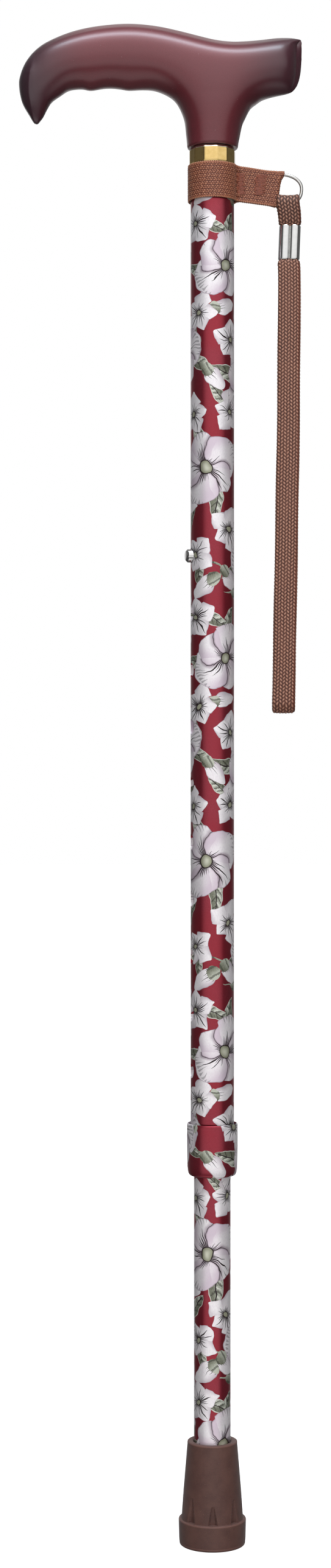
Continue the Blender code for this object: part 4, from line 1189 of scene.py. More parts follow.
# -------------------------------------------------------------------- handle
HANDLE_OUTLINE = [
    (-76.95, 621.1), (-79.9, 624.8), (-82.7, 629.4), (-84.05, 634.05), (-84.5, 638.7),
    (-84.2, 641.4), (-83.1, 645.1), (-81.3, 648.8), (-78.5, 652.5), (-74.4, 656.0),
    (-69.75, 658.5), (-64.2, 660.8), (-58.7, 662.5), (-51.3, 664.0), (-41.1, 665.05),
    (-32.8, 665.05), (-23.6, 664.0), (-14.4, 662.0), (-5.15, 659.6), (1.3, 658.05),
    (7.8, 657.3), (13.3, 657.4), (20.7, 658.05), (28.1, 659.0), (34.5, 659.2),
    (37.8, 658.8), (39.0, 657.9), (39.15, 652.5), (38.7, 644.2), (37.5, 638.7),
    (35.5, 635.4), (33.15, 634.05), (27.15, 632.9), (22.1, 631.5), (19.3, 629.7),
    (16.5, 627.4), (14.2, 623.0), (13.0, 620.2), (11.9, 615.0), (11.2, 611.0),
    (11.0, 605.0), (11.0, 595.0), (11.0, 580.0), (-11.0, 580.0), (-11.0, 595.0),
    (-11.0, 605.0), (-11.0, 611.0), (-11.5, 616.5), (-12.25, 622.5), (-14.4, 628.05),
    (-17.1, 631.7), (-21.3, 634.2), (-25.9, 635.7), (-31.0, 635.9), (-36.5, 635.6),
    (-40.2, 636.2), (-43.9, 636.6), (-47.6, 636.45), (-53.1, 635.5), (-56.8, 636.2),
    (-60.5, 636.0), (-63.3, 635.3), (-66.5, 633.1), (-70.2, 630.4), (-72.3, 627.1),
    (-73.9, 623.9), (-75.3, 622.05),
]
GRIP_LIMIT, GRIP_FLAT, NECK_FLAT = 17.5, 0.79, 0.85
ROUNDING_TRIM = 0.5
FIELD_STEP = 0.5
FIELD_LOW = np.array([-92.0, 576.0])
FIELD_SHAPE = (281, 192)
NET_STEP = 1.0


def closed_spline(points, between):
    """A closed Catmull-Rom curve through these points."""
    p = np.array(points, float)
    before, after, later = np.roll(p, 1, 0), np.roll(p, -1, 0), np.roll(p, -2, 0)
    t = np.linspace(0, 1, between, endpoint=False)[None, :, None]
    a, b, c, d = (q[:, None, :] for q in (before, p, after, later))
    curve = 0.5 * (2 * b + (c - a) * t + (2 * a - 5 * b + 4 * c - d) * t**2 + (3 * b - a - 3 * c + d) * t**3)
    return curve.reshape(-1, 2)


def signed_distance(points, outline):
    """Distance from each point to a closed outline, positive inside it."""
    best = np.full(len(points), 1e9)
    inside = np.zeros(len(points), bool)
    for a, b in zip(outline, np.roll(outline, -1, 0)):
        edge = b - a
        share = np.clip(((points - a) @ edge) / (edge @ edge), 0, 1)
        best = np.minimum(best, np.linalg.norm(points - a - share[:, None] * edge, axis=1))
        crosses = (a[1] > points[:, 1]) != (b[1] > points[:, 1])
        if edge[1] != 0:
            at = a[0] + (points[:, 1] - a[1]) / edge[1] * edge[0]
            inside ^= crosses & (points[:, 0] < at)
    return np.where(inside, best, -best)


def handle_outline(between):
    """The outline as a smooth closed line, drawn in at the top and the underside."""
    line = closed_spline(HANDLE_OUTLINE, between)
    ahead = np.roll(line, -1, 0) - np.roll(line, 1, 0)
    ahead /= np.linalg.norm(ahead, axis=1)[:, None]
    area = np.sum(line[:, 0] * np.roll(line[:, 1], -1) - np.roll(line[:, 0], -1) * line[:, 1])
    outward_z = -ahead[:, 0] * np.sign(area)
    line[:, 1] -= ROUNDING_TRIM * outward_z
    return line


def swollen_field():
    """On a grid over the outline: the square of the half thickness, grown inward as a membrane under even pressure stands over it, and negative outside."""
    xs = FIELD_LOW[0] + FIELD_STEP * np.arange(FIELD_SHAPE[0])
    zs = FIELD_LOW[1] + FIELD_STEP * np.arange(FIELD_SHAPE[1])
    grid = np.stack(np.meshgrid(xs, zs, indexing="ij"), -1).reshape(-1, 2)
    dist = signed_distance(grid, handle_outline(4)).reshape(FIELD_SHAPE)
    inside = dist > 0.02
    arms, live = [], []
    for axis, way in ((0, 1), (0, -1), (1, 1), (1, -1)):
        other = np.roll(dist, -way, axis)
        arm = np.where(other > 0.02, 1.0, np.clip(dist / (dist - other + 1e-9), 0.08, 1.0))
        arms.append(arm * FIELD_STEP)
        live.append(other > 0.02)
    weights, total = [], 0
    for pair in ((0, 1), (2, 3)):
        for one in pair:
            weight = 2 / (arms[pair[0]] + arms[pair[1]]) / arms[one]
            weights.append(np.where(live[one], weight, 0) * inside)
        total = total + 2 / (arms[pair[0]] * arms[pair[1]])
    u = np.where(inside, dist * 10, 0)
    odd = (np.add.outer(np.arange(FIELD_SHAPE[0]), np.arange(FIELD_SHAPE[1])) % 2).astype(bool)
    for turn in range(900):
        for half in (odd, ~odd):
            around = sum(
                w * np.roll(u, -way, axis)
                for w, (axis, way) in zip(weights, ((0, 1), (0, -1), (1, 1), (1, -1)))
            )
            u = np.where(inside & half, u + 1.85 * ((2 + around) / total - u), u)
    known = dist > 0.25
    slope = np.where(known, u / np.maximum(dist, 0.25), 0)
    for turn in range(40):
        count = sum(np.roll(known, way, axis) for axis, way in ((0, 1), (0, -1), (1, 1), (1, -1)))
        total_slope = sum(
            np.roll(np.where(known, slope, 0), way, axis)
            for axis, way in ((0, 1), (0, -1), (1, 1), (1, -1))
        )
        fill = ~known & (count > 0)
        slope = np.where(fill, total_slope / np.maximum(count, 1), slope)
        known = known | fill
    slope = np.where(known, slope, 10.0)
    return dist * slope


def limited(u):
    """Squares of half thicknesses, eased off where the outline is widest."""
    up = np.maximum(u, 0) / GRIP_LIMIT**2
    return np.where(u > 0, u / (1 + up**3) ** (1 / 3), u)


def field_at(field, x, z):
    fx = np.clip((x - FIELD_LOW[0]) / FIELD_STEP, 0, FIELD_SHAPE[0] - 1.001)
    fz = np.clip((z - FIELD_LOW[1]) / FIELD_STEP, 0, FIELD_SHAPE[1] - 1.001)
    i, j = fx.astype(int), fz.astype(int)
    a, b = fx - i, fz - j
    return (
        field[i, j] * (1 - a) * (1 - b)
        + field[i + 1, j] * a * (1 - b)
        + field[i, j + 1] * (1 - a) * b
        + field[i + 1, j + 1] * a * b
    )


HANDLE_FIELD = limited(swollen_field())
FOOT_Z = 610.5


def handle_value(points):
    """Above zero in the handle: its swollen outline, with an eased edge at the foot."""
    flat = GRIP_FLAT + (NECK_FLAT - GRIP_FLAT) * np.clip((632.0 - points[:, 2]) / 14.0, 0, 1)
    skin = field_at(HANDLE_FIELD, points[:, 0], points[:, 2]) * flat - points[:, 1] ** 2
    skin = skin / (2 * np.sqrt(np.maximum(points[:, 1] ** 2 + 9.0, 9.0)))
    foot = points[:, 2] - FOOT_Z
    ease = 0.9
    both = np.stack([skin, foot], 1)
    inner = np.minimum(skin, foot)
    corner = (skin < ease) & (foot < ease)
    round_edge = ease - np.sqrt(np.maximum(ease - skin, 0) ** 2 + np.maximum(ease - foot, 0) ** 2)
    return np.where(corner, round_edge, inner)


def surface_net(value, low, high, step):
    """Points and quads of a closed skin where value(points) passes zero."""
    counts = [int(math.ceil((h - l) / step)) + 1 for l, h in zip(low, high)]
    axes = [l + step * np.arange(n) for l, n in zip(low, counts)]
    grid = np.stack(np.meshgrid(*axes, indexing="ij"), -1)
    f = value(grid.reshape(-1, 3)).reshape(counts)
    sign = f > 0
    cells = [n - 1 for n in counts]
    number = lambda c: (c[:, 0] * cells[1] + c[:, 1]) * cells[2] + c[:, 2]
    total = np.zeros((cells[0] * cells[1] * cells[2], 3))
    hits = np.zeros(cells[0] * cells[1] * cells[2])
    quads = []
    for axis in range(3):
        near = [slice(None)] * 3
        far = [slice(None)] * 3
        near[axis], far[axis] = slice(0, -1), slice(1, None)
        cross = np.argwhere(sign[tuple(near)] != sign[tuple(far)])
        ahead = cross.copy()
        ahead[:, axis] += 1
        a = f[cross[:, 0], cross[:, 1], cross[:, 2]]
        b = f[ahead[:, 0], ahead[:, 1], ahead[:, 2]]
        from_at = grid[cross[:, 0], cross[:, 1], cross[:, 2]]
        to_at = grid[ahead[:, 0], ahead[:, 1], ahead[:, 2]]
        spot = from_at + (to_at - from_at) * (a / (a - b))[:, None]
        u, v = [q for q in range(3) if q != axis]
        four = []
        for du, dv in ((-1, -1), (0, -1), (0, 0), (-1, 0)):
            home = cross.copy()
            home[:, u] += du
            home[:, v] += dv
            n = number(home)
            np.add.at(total, n, spot)
            np.add.at(hits, n, 1)
            four.append(n)
        four = np.stack(four, 1)
        flip = (a > 0) != (axis != 1)
        four[flip] = four[flip][:, ::-1]
        quads.append(four)
    quads = np.concatenate(quads)
    used = np.flatnonzero(hits > 0)
    index = np.full(len(hits), -1)
    index[used] = np.arange(len(used))
    return total[used] / hits[used][:, None], index[quads]


def drawn_to(value, points, step, turns=5):
    """These points moved onto the surface where value is zero."""
    for turn in range(turns):
        here = value(points)
        e = 0.05
        slope = np.stack(
            [
                (value(points + e * np.eye(3)[k]) - value(points - e * np.eye(3)[k])) / (2 * e)
                for k in range(3)
            ],
            1,
        )
        move = slope * (here / np.maximum((slope**2).sum(1), 0.05))[:, None]
        size = np.linalg.norm(move, axis=1)[:, None]
        points = points - move * np.minimum(1, 0.35 * step / np.maximum(size, 1e-9))
    return points


CREASE = [
    (-76.95, 619.0), (-77.4, 622.3), (-78.7, 628.3), (-79.6, 634.6), (-79.3, 640.9), (-78.1, 647.1), (-74.9, 651.5), (-71.8, 654.3),
    (-65.5, 657.5), (-56.1, 660.0), (-48.0, 661.8), (-40.0, 662.6), (-32.0, 662.4), (-24.6, 661.4), (-17.1, 659.7), (-9.6, 657.9),
    (-2.1, 656.0), (5.4, 654.9), (10.6, 654.5), (18.1, 655.4), (25.5, 656.7), (33.0, 657.7), (37.9, 658.4), (41.0, 659.5),
]


def crease_offset(points):
    """How far above (+) or below (-) the handle's crease each point stands, seen from the front."""
    line = smooth_path([(x, 0, z) for x, z in CREASE], 400)[:, (0, 2)]
    ahead = np.gradient(line, axis=0)
    ahead /= np.linalg.norm(ahead, axis=1)[:, None]
    best = np.full(len(points), 1e9)
    signed = np.zeros(len(points))
    place = points[:, (0, 2)]
    for at, way in zip(line, ahead):
        gap = place - at
        far = np.linalg.norm(gap, axis=1)
        side = way[0] * gap[:, 1] - way[1] * gap[:, 0]
        near = far < best
        best = np.where(near, far, best)
        signed = np.where(near, np.sign(side) * far, signed)
    return signed


def handle():
    points, quads = surface_net(handle_value, (-87.0, -16.1, 608.0), (43.0, 16.1, 668.0), NET_STEP)
    points = drawn_to(handle_value, points, NET_STEP)
    made = piece("handle_skin", points, quads.tolist(), None, (), 180)
    subdivide = made.modifiers.new("finer", "SUBSURF")
    subdivide.levels = subdivide.render_levels = 1
    view = bpy.context.evaluated_depsgraph_get()
    finer = bpy.data.meshes.new_from_object(made.evaluated_get(view))
    bpy.data.objects.remove(made)
    p = np.zeros(len(finer.vertices) * 3)
    finer.vertices.foreach_get("co", p)
    p = drawn_to(handle_value, p.reshape(-1, 3) / MM, NET_STEP / 2, 3)
    e = 0.05
    normal = -np.stack(
        [(handle_value(p + e * np.eye(3)[k]) - handle_value(p - e * np.eye(3)[k])) for k in range(3)], 1
    )
    normal /= np.maximum(np.linalg.norm(normal, axis=1), 1e-9)[:, None]
    d = crease_offset(p)
    # on the silhouette's own edge the crease would only notch the outline
    facing = np.clip(np.abs(normal[:, 1]) * 2.2, 0, 1)
    # the crease is a valley along the top and a sharp ridge down the nose
    nose = np.clip((-74.0 - p[:, 0]) / 4.0, 0, 1) * np.clip((650.0 - p[:, 2]) / 8.0, 0, 1)
    valley = -0.10 * np.exp(-((d / 0.8) ** 2))
    ridge = 0.85 * np.exp(-np.abs(d) / 2.8)
    fade = np.clip((35.5 - p[:, 0]) / 3.0, 0, 1)
    edge_x = 33.2 + 0.05 * np.maximum(656.0 - p[:, 2], 0) + 1.2 * np.maximum(p[:, 2] - 656.0, 0)
    over = p[:, 0] - edge_x
    facet = -0.40 * np.where(over > -14, np.log1p(np.exp(np.clip(over / 1.5, -20, 20))) * 1.5, 0)
    facet = np.maximum(facet, -2.4)
    a, b = np.array([34.0, 655.4]), np.array([38.4, 658.7])
    share = np.clip(((p[:, (0, 2)] - a) @ (b - a)) / ((b - a) @ (b - a)), 0, 1)
    off_ridge = np.linalg.norm(p[:, (0, 2)] - a - share[:, None] * (b - a), axis=1)
    corner = 0.34 * np.exp(-off_ridge / 0.9)
    lift = valley * (1 - nose) * fade + ridge * nose + facet + corner
    p = p + normal * (lift * facing)[:, None]
    finer.vertices.foreach_set("co", (p * MM).reshape(-1))
    finer.update()
    made = bpy.data.objects.new("handle_skin", finer)
    scene.collection.objects.link(made)
    finer.polygons.foreach_set("use_smooth", [True] * len(finer.polygons))
    # the spigot's socket
    socket_line = [(0, 600.0), (8.3, 600.0), (8.3, 634.5), (2.8, 634.5), (2.8, 652.6), (0, 653.2)]
    cut(made, piece("handle_socket", *turned(socket_line, 96)))
    made.data.polygons.foreach_set("use_smooth", [True] * len(made.data.polygons))
    made.data.set_sharp_from_angle(angle=math.radians(60))
    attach(made, "upper_shaft")
    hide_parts("handle")
    net = Net("pearl_wine")
    where = net.place()
    fine = net.noise(where, 7.5, 2, 0.75)
    cloud = net.noise(where, 0.05, 3, 0.5)
    mid = net.noise(where, 1.6, 3, 0.6)
    base = net.mix(fine.ramp(0.36, 0.66), (0.116, 0.0135, 0.020), (0.194, 0.026, 0.037))
    base = net.mix(cloud.ramp(0.3, 0.7) * 0.35, base, (0.146, 0.027, 0.036))
    dots = net.cells(where, 0.30)
    base = net.mix(dots.below(0.035) * 0.45, base, (0.40, 0.30, 0.32))
    # the colour is painted darker towards the nose and the heel: partly a soft burst in the finish, partly painted
    # shade where these ends turn away from the light
    along = where.parts()[0]
    burst_and_shade = along.ramp(-86.0, -50.0, 0.95, 0.0).high(along.ramp(4.0, 34.0, 0.0, 0.72))
    base = net.mix(burst_and_shade, base, (0.034, 0.014, 0.024))
    net.set(Base_Color=base, Roughness=(mid * 0.06 + 0.40) + fine * 0.05)
    net.shader.inputs["Metallic"].default_value = 0.30
    net.shader.inputs["Specular IOR Level"].default_value = 0.3
    net.shader.inputs["Coat Weight"].default_value = 1.0
    net.shader.inputs["Coat Roughness"].default_value = 0.25
    net.set(Normal=net.bump(fine, 0.03, 0.35))
    made.data.materials.clear()
    made.data.materials.append(net.material)
    return made


handle()


# ---------------------------------------------------------- strap and ring
RING_C = np.array([27.9, 0.0, 592.85])
LEAN = math.radians(6.0)
RING_S = np.array([math.sin(LEAN), 0, math.cos(LEAN)])
RING_T = np.array([math.cos(LEAN), 0, -math.sin(LEAN)])
RING_HALF, RING_DEPTH, RING_CORNER, RING_POWER, WIRE_R = 6.6, 11.1, 1.2, 2.4, 0.725


def in_ring(t, s, y=0.0):
    return RING_C + RING_T * t + RING_S * s + np.array([0, y, 0])


def ring():
    straight = [(0.0, s) for s in np.linspace(-RING_HALF + RING_CORNER, RING_HALF - RING_CORNER, 14)]
    corner = [
        (
            RING_CORNER - RING_CORNER * math.cos(math.radians(a)),
            RING_HALF - RING_CORNER + RING_CORNER * math.sin(math.radians(a)),
        )
        for a in range(12, 91, 13)
    ]
    angles = np.radians(np.concatenate([np.linspace(8, 86, 26)]))
    sweep = [
        (
            RING_CORNER + (RING_DEPTH - RING_CORNER) * math.sin(a) ** (2 / RING_POWER),
            RING_HALF * math.cos(a) ** (2 / RING_POWER),
        )
        for a in angles
    ]
    half = [*corner, *sweep]
    line = [*straight, *half, (RING_DEPTH, 0.0), *[(t, -s) for t, s in half[::-1]]]
    smooth = closed_spline(line, 4)
    # even spacing
    loop = np.vstack([smooth, smooth[:1]])
    along = np.concatenate([[0], np.cumsum(np.linalg.norm(np.diff(loop, axis=0), axis=1))])
    at = np.linspace(0, along[-1], 201)[:-1]
    t, s = np.interp(at, along, loop[:, 0]), np.interp(at, along, loop[:, 1])
    path = np.array([in_ring(a, b) for a, b in zip(t, s)])
    made = piece("ring_wire", *thread(path, WIRE_R, 28, closed=True), "d_ring", ("d_ring",), 60, "d_ring")
    made.data.materials.append(metal("nickel_wire", (0.66, 0.65, 0.63), 0.10, 0.25, 0.9, 0.01))
    return made


ring()
clamp.data.materials.append(metal("nickel_sleeve", (0.70, 0.70, 0.69), 0.05, 0.2, 0.5, 0.02, (4.0, 4.0, 0.25)))


STRIP_HALF = 0.45


def band_height(x, front):
    """The webbing's lower and upper edge where it stands at x, as seen in front. The argument front is not used."""
    if x <= 8.0:
        return 587.2, 602.45
    top = np.interp(x, (8.0, 10.2, 16.0, 23.1, 27.0, 32.0), (602.5, 602.65, 601.85, 600.7, 600.25, 599.55))
    low = np.interp(x, (8.0, 12.0, 23.1, 27.9, 32.0), (587.3, 587.35, 585.85, 585.1, 584.55))
    return float(low), float(top)


def strap_plan():
    """The middle line of the webbing in plan, from the front layer's end round the tube to the back layer's."""
    radius = 10.27
    pinch_y = 0.62
    front = []
    for x in np.linspace(27.9, 12.3, 70):
        swell = 0.53 * np.clip((x - 23.4) / 4.5, 0, 1) ** 2
        front.append((x, -(pinch_y + swell)))
    leave = math.radians(13)
    ring_part = []
    for a in np.linspace(-leave, -(2 * math.pi - leave), 240):
        ring_part.append((radius * math.cos(a), radius * math.sin(a)))
    bridge = []
    start, end = np.array(front[-1]), np.array(ring_part[0])
    d0 = np.array([-1.0, 0.0]) * 2.4
    d1 = np.array([math.sin(-leave), -math.cos(-leave)]) * 1.6
    for t in np.linspace(0, 1, 26)[1:-1]:
        h0, h1 = 2 * t**3 - 3 * t**2 + 1, t**3 - 2 * t**2 + t
        h2, h3 = -2 * t**3 + 3 * t**2, t**3 - t**2
        bridge.append(tuple(h0 * start + h1 * d0 + h2 * end + h3 * d1))
    half = [*front, *bridge]
    back = [(x, -y) for x, y in half[::-1]]
    line = np.array([*half, *ring_part, *back])
    along = np.concatenate([[0], np.cumsum(np.linalg.norm(np.diff(line, axis=0), axis=1))])
    count = int(along[-1] / 0.225)
    at = np.linspace(0, along[-1], count)
    return np.stack([np.interp(at, along, line[:, 0]), np.interp(at, along, line[:, 1])], 1), at


def knit(along, up, height_span):
    """Bumps of the webbing's stitches: rows along it, slanting by turns, never quite even."""
    row = up / 0.83 + 0.07 * np.sin(along * 0.9 + up * 0.7) + 0.04 * np.sin(along * 2.3)
    which = np.floor(row)
    across = (row - which) - 0.5
    even = which % 2 == 0
    # each pair of rows is one course of slanting loops, with a deeper gap to the next
    centre = np.where(even, 0.05, -0.05)
    lean = np.where(even, 0.75, -0.75)
    col = (along + lean * across * 0.83) / 1.12 + 0.5 * (which % 2) + 0.10 * np.sin(along * 1.7 + which * 2.1)
    ds = col - np.floor(col) - 0.5
    size = 1 - 0.25 * np.abs(np.sin(which * 12.9 + np.floor(col) * 4.7))
    body = np.clip(size - ((across - centre) / 0.50) ** 2 - (ds / 0.42) ** 2, 0, 1) ** 0.6
    return body


def webbing_strap():
    plan, along = strap_plan()
    ahead = np.gradient(plan, axis=0)
    ahead /= np.linalg.norm(ahead, axis=1)[:, None]
    out = np.stack([-ahead[:, 1], ahead[:, 0]], 1)
    # out points away from the shaft
    if out[len(out) // 2] @ plan[len(plan) // 2] < 0:
        out = -out
    rows = 78
    shares = np.linspace(0, 1, rows)
    turn_steps = 12
    count = len(plan)
    total = count + 2 * turn_steps
    outer = np.zeros((total, rows, 3))
    inner = np.zeros((total, rows, 3))
    bumps = np.zeros((total, rows))
    for i in range(total):
        k = min(max(i - turn_steps, 0), count - 1)
        x, y = plan[k]
        low, top = band_height(x, y < 0)
        z = low + (top - low) * shares
        lean = math.sin(LEAN) * (z - RING_C[2]) * np.clip((x - 25.0) / 2.9, 0, 1)
        line_x, line_y = x + lean, np.full(rows, y)
        out_x, out_y = np.full(rows, out[k, 0]), np.full(rows, out[k, 1])
        beyond = max(turn_steps - i, i - (turn_steps + count - 1), 0)
        far = along[k] + np.zeros(rows)
        if beyond:
            # round the bar, and past it above and below, where the ring's arms come out
            s_here = z - RING_C[2]
            past = np.interp(s_here, (-7.8, -7.0, -5.6, -4.0, -2.0, 0.0, 2.0, 3.8, 5.0, 6.2, 7.5), (0.9, 1.0, 1.2, 1.2, 1.2, 1.2, 1.3, 1.6, 2.2, 2.9, 2.6))
            shut = np.interp(np.abs(s_here), (0, 5.0, 5.8, 7.4, 8.2), (0.04, 0.04, 1.0, 1.0, 0.8))
            angle = math.pi / 2 * beyond / turn_steps
            side = np.sign(y)
            depth = abs(y)
            line_x = line_x + past * math.sin(angle)
            line_y = side * (shut + (depth - shut) * math.cos(angle))
            out_x = np.sin(angle) * (depth - shut) + 1e-6
            out_y = side * past * np.cos(angle) + side * 1e-6
            length = np.hypot(out_x, out_y)
            lone = np.clip((depth - shut) / 0.4, 0, 1)
            out_x, out_y = out_x / length * lone, out_y / length * lone + side * (1 - lone)
            far = far + (-1 if i < turn_steps else 1) * past * angle
        thin = 1 - 0.35 * np.clip(np.abs(shares - 0.5) * 2 - 0.93, 0, 0.07) / 0.07
        pattern = knit(far, z - low, top - low)
        selvage = np.clip(1 - ((far / 0.93) % 1.0 - 0.5) ** 2 * 4, 0, 1) ** 0.7
        edge = np.exp(-((shares * (top - low) / 0.45) ** 2)) + np.exp(-(((shares - 1.0) * (top - low) / 0.45) ** 2))
        bump = np.maximum(pattern * (1 - np.clip(edge, 0, 1)), edge * selvage)
        # the stitches beside the shaft draw the webbing into small folds
        pull = 0.26 * math.exp(-(((x - 11.2) / 1.5) ** 2)) if x > 9.6 and abs(y) < 4.5 else 0.0
        gather = pull * (np.sin(z * 2.9 + 0.8 * np.sin(z * 0.9)) - 0.3) * np.clip((0.5 - np.abs(shares - 0.5)) / 0.1, 0, 1)
        half = (STRIP_HALF - 0.12) * thin
        zz = z + np.where(shares > 0.99, 0.24 * selvage, 0) - np.where(shares < 0.01, 0.18 * selvage, 0)
        rough = half + 0.21 * bump + gather
        outer[i] = np.stack([line_x + out_x * rough, line_y + out_y * rough, zz], 1)
        inner[i] = np.stack([line_x - out_x * (half - gather), line_y - out_y * (half - gather), zz], 1)
        # where a fold sinks in, its rise is halved, so the colour there takes a painted shade
        bumps[i] = bump * (1 - 0.5 * np.clip(gather / -0.3, 0, 1))
    # rings across the strip: outer face from the bottom up, inner face from the top down
    ring_points = np.concatenate([outer, inner[:, ::-1]], 1)
    values = np.concatenate([bumps, bumps[:, ::-1] * 0.5], 1)
    faces = tube_faces(total, 2 * rows)
    return ring_points.reshape(-1, 3), faces, values.reshape(-1)


def webbing_material():
    net = Net("rust_webbing")
    where = net.place()
    rise = net.attribute("rise")
    tone = net.noise(where, 0.35, 3, 0.6)
    fibre = net.noise(where.vec("MULTIPLY", (1.0, 1.0, 3.0)), 3.5, 3, 0.7)
    low = net.mix(tone, rgb(96, 42, 28), rgb(78, 34, 24))
    mid = net.mix(tone, rgb(172, 104, 74), rgb(150, 88, 62))
    high = net.mix(fibre.ramp(0.3, 0.7), rgb(196, 136, 104), rgb(228, 180, 146))
    # between the stitches the colour is painted dark, a painted shade in the gaps, and on their tops pale, a painted
    # highlight
    base = net.mix(rise.ramp(0.0, 0.5), low, mid)
    base = net.mix(rise.ramp(0.6, 0.98) * 0.8, base, high)
    net.set(Base_Color=base, Roughness=fibre * 0.2 + 0.5)
    net.shader.inputs["Sheen Weight"].default_value = 0.25
    net.shader.inputs["Sheen Roughness"].default_value = 0.4
    net.shader.inputs["Sheen Tint"].default_value = (0.9, 0.7, 0.55, 1)
    net.set(Normal=net.bump(fibre, 0.06, 0.5))
    return net.material


def thread_material():
    net = Net("bartack_thread")
    where = net.place()
    ply = net.noise(where.vec("MULTIPLY", (0.6, 2.0, 4.0)), 2.0, 3, 0.6)
    base = net.mix(ply.ramp(0.3, 0.7), rgb(108, 44, 26), rgb(158, 82, 52))
    net.set(Base_Color=base, Roughness=ply * 0.15 + 0.42)
    net.shader.inputs["Sheen Weight"].default_value = 0.2
    net.set(Normal=net.bump(ply, 0.05, 0.5))
    return net.material


def strap():
    points, faces, rise = webbing_strap()
    made = piece("strap_webbing", points, faces, None, ("strap_band",), 180, "strap_band")
    float_attribute(made, "rise", rise)
    made.data.materials.append(webbing_material())
    tuple(in_ring(-5.0, 0) * MM)
    tuple(in_ring(-0.5, 0) * MM)
    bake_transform(made)
    # stitching: two bartacks of close zigzag thread, on both faces
    mine = np.random.default_rng(4)
    plan = strap_plan()[0]
    front = plan[(plan[:, 1] < 0) & (plan[:, 0] > 9.0)]
    front = front[np.argsort(front[:, 0])]
    front_x, front_y = front[:, 0], -front[:, 1]
    parts = []
    for face in (-1, 1):
        for block in ("near", "far"):
            clumps = 5
            each = 6
            low_z, high_z = (590.0, 599.4) if block == "near" else (589.9, 598.9)
            line = []
            for n in range(clumps * each):
                group = n // each
                centre = low_z + (high_z - low_z) * (group + 0.5) / clumps
                if n % each == 0:
                    shift_left, shift_right = mine.uniform(-0.7, 0.5), mine.uniform(-0.7, 0.7)
                z = low_z + (high_z - low_z) * (n + 0.5) / (clumps * each)
                share = (z - low_z) / (high_z - low_z)
                if block == "near":
                    left, right = 10.75, 14.1
                else:
                    left, right = 18.4 + 1.3 * share, 22.5 + 1.7 * share
                left += shift_left + mine.uniform(-0.4, 0.35)
                right += shift_right + mine.uniform(-0.55, 0.45)
                ends = (left, right) if n % 2 == 0 else (right, left)
                for x in np.linspace(ends[0], ends[1], 8):
                    to_end = abs(2 * (x - left) / (right - left) - 1)
                    squeeze = 1 - 0.42 * to_end**2
                    lift = float(np.interp(x, front_x, front_y)) + STRIP_HALF + 0.13 * (1 - to_end**2) - 0.06 + mine.uniform(-0.03, 0.04)
                    line.append((x, face * lift, centre + (z - centre) * squeeze + mine.uniform(-0.03, 0.03)))
            parts.append(thread(smooth_path(line, len(line) * 2), 0.21, 6))
    tack = piece("strap_bartacks", *joined(*parts), "strap_band", (), 180)
    tack.data.materials.append(thread_material())
    return made


strap()


def braid_material():
    net = Net("brown_braid")
    where = net.place()
    rise, across = net.attribute("rise"), net.attribute("across")
    tone = net.noise(where, 0.25, 3, 0.6)
    fibre = net.noise(where.vec("MULTIPLY", (3.0, 3.0, 1.2)), 2.6, 3, 0.7)
    low = net.mix(tone, rgb(44, 18, 13), rgb(58, 25, 18))
    mid = net.mix(tone, rgb(124, 73, 53), rgb(100, 56, 42))
    high = net.mix(fibre.ramp(0.3, 0.7), rgb(172, 116, 92), rgb(220, 170, 145))
    # between the bumps the colour is painted dark, a painted shade in the gaps, and on their tops pale, a painted
    # highlight
    base = net.mix(rise.ramp(0.02, 0.56), low, mid)
    base = net.mix(rise.ramp(0.60, 1.0) * 0.88, base, high)
    base = net.mix((across - 3.95).abs().ramp(0.0, 0.35, 0.75, 0.0), base, rgb(104, 40, 26))
    # the eye above the sleeve is painted darker, mostly between its bumps: painted shade where the cord leans back away
    # from the light
    base = net.mix(where.parts()[2].ramp(CLAMP_TOP - 0.5, CLAMP_TOP + 1.0) * rise.ramp(0.55, 0.95, 0.45, 0.08), base, low)
    net.set(Base_Color=base, Roughness=fibre * 0.2 + 0.48)
    net.shader.inputs["Sheen Weight"].default_value = 0.25
    net.shader.inputs["Sheen Roughness"].default_value = 0.4
    net.shader.inputs["Sheen Tint"].default_value = (0.9, 0.72, 0.62, 1)
    net.set(Normal=net.bump(fibre, 0.06, 0.5))
    return net.material


cord.data.materials.append(braid_material())


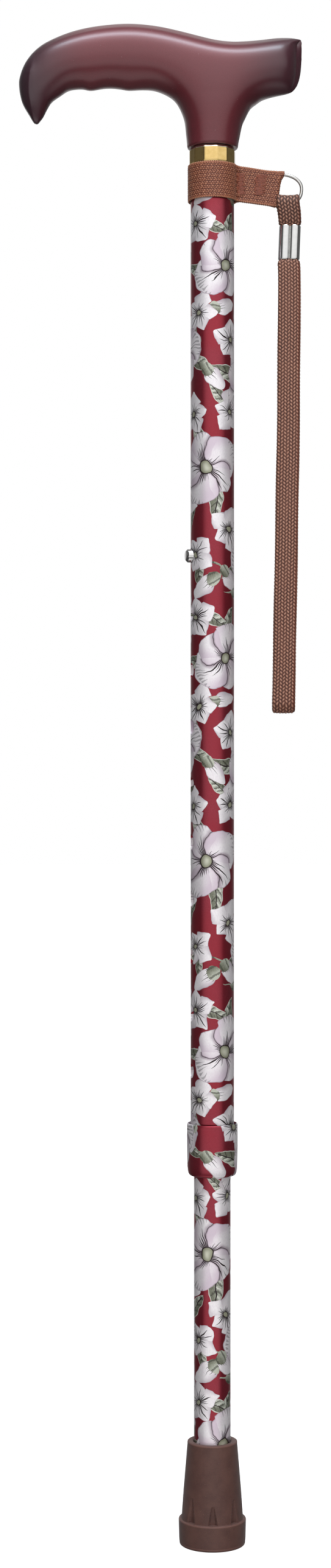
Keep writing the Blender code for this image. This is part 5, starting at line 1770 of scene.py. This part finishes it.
# -------------------------------------------------------- pieces kept inside
def plastic(name, colour, rough=0.45, variation=0.12):
    net = Net(name)
    where = net.place()
    cloud = net.noise(where, 0.2, 3, 0.6)
    grain = net.noise(where, 4.0, 2, 0.6)
    base = net.mix(cloud.ramp(0.3, 0.7), tuple(c * (1 - variation) for c in colour), tuple(min(1, c * (1 + variation)) for c in colour))
    net.set(Base_Color=base, Roughness=(grain * 0.1 + rough - 0.05))
    net.set(Normal=net.bump(grain, 0.03, 0.4))
    return net.material


def leaf_spring():
    """The strip bent into a V behind the button: its near arm gives way as the button goes in."""
    bend = [
        (-0.8 + 2.2 * math.cos(math.radians(a)), 0.0, 398.0 + 2.2 * math.sin(math.radians(a)))
        for a in range(0, -181, -20)
    ]
    near = [(4.05, 0.0, 440.0), (4.05, 0.0, 436.0), (4.05, 0.0, 432.0), (4.05, 0.0, 427.0), (3.7, 0.0, 422.0), (1.6, 0.0, 403.0)]
    far = [(-3.3, 0.0, 403.0), (-5.2, 0.0, 420.0), (-5.5, 0.0, 430.0), (-5.4, 0.0, 438.0)]
    line = smooth_path(near + bend + far, 96)
    ahead = np.gradient(line, axis=0)
    ahead /= np.linalg.norm(ahead, axis=1)[:, None]
    section = [(-1.6, -0.3), (1.6, -0.3), (1.7, -0.2), (1.7, 0.2), (1.6, 0.3), (-1.6, 0.3), (-1.7, 0.2), (-1.7, -0.2)]
    c, s = math.cos(BUTTON_ANGLE), math.sin(BUTTON_ANGLE)
    points = []
    for at, way in zip(line, ahead):
        for wide, thick in section:
            r, z = at[0] - way[2] * thick, at[2] + way[0] * thick
            points.append((r * c - wide * s, r * s + wide * c, z))
    made = piece("leaf_spring", points, tube_faces(len(line), len(section)), None, ("button_spring",), 40, "button_spring")
    made.data.materials.append(metal("spring_steel", (0.46, 0.47, 0.50), 0.28))
    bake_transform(made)


leaf_spring()

INNER = {
    "tip_washer": metal("plain_steel", (0.58, 0.58, 0.60), 0.34),
    "guide_bush": plastic("black_nylon", (0.03, 0.03, 0.032)),
    "collet": plastic("white_nylon", (0.78, 0.77, 0.73)),
    "threaded_sleeve": plastic("sleeve_nylon", (0.035, 0.035, 0.037)),
    "handle_plug": plastic("grey_nylon", (0.22, 0.22, 0.23)),
    "handle_screw": metal("zinc_screw", (0.66, 0.65, 0.60), 0.32),
}
for node_name, look in INNER.items():
    mesh = NODES[node_name].data
    mesh.materials.clear()
    mesh.materials.append(look)
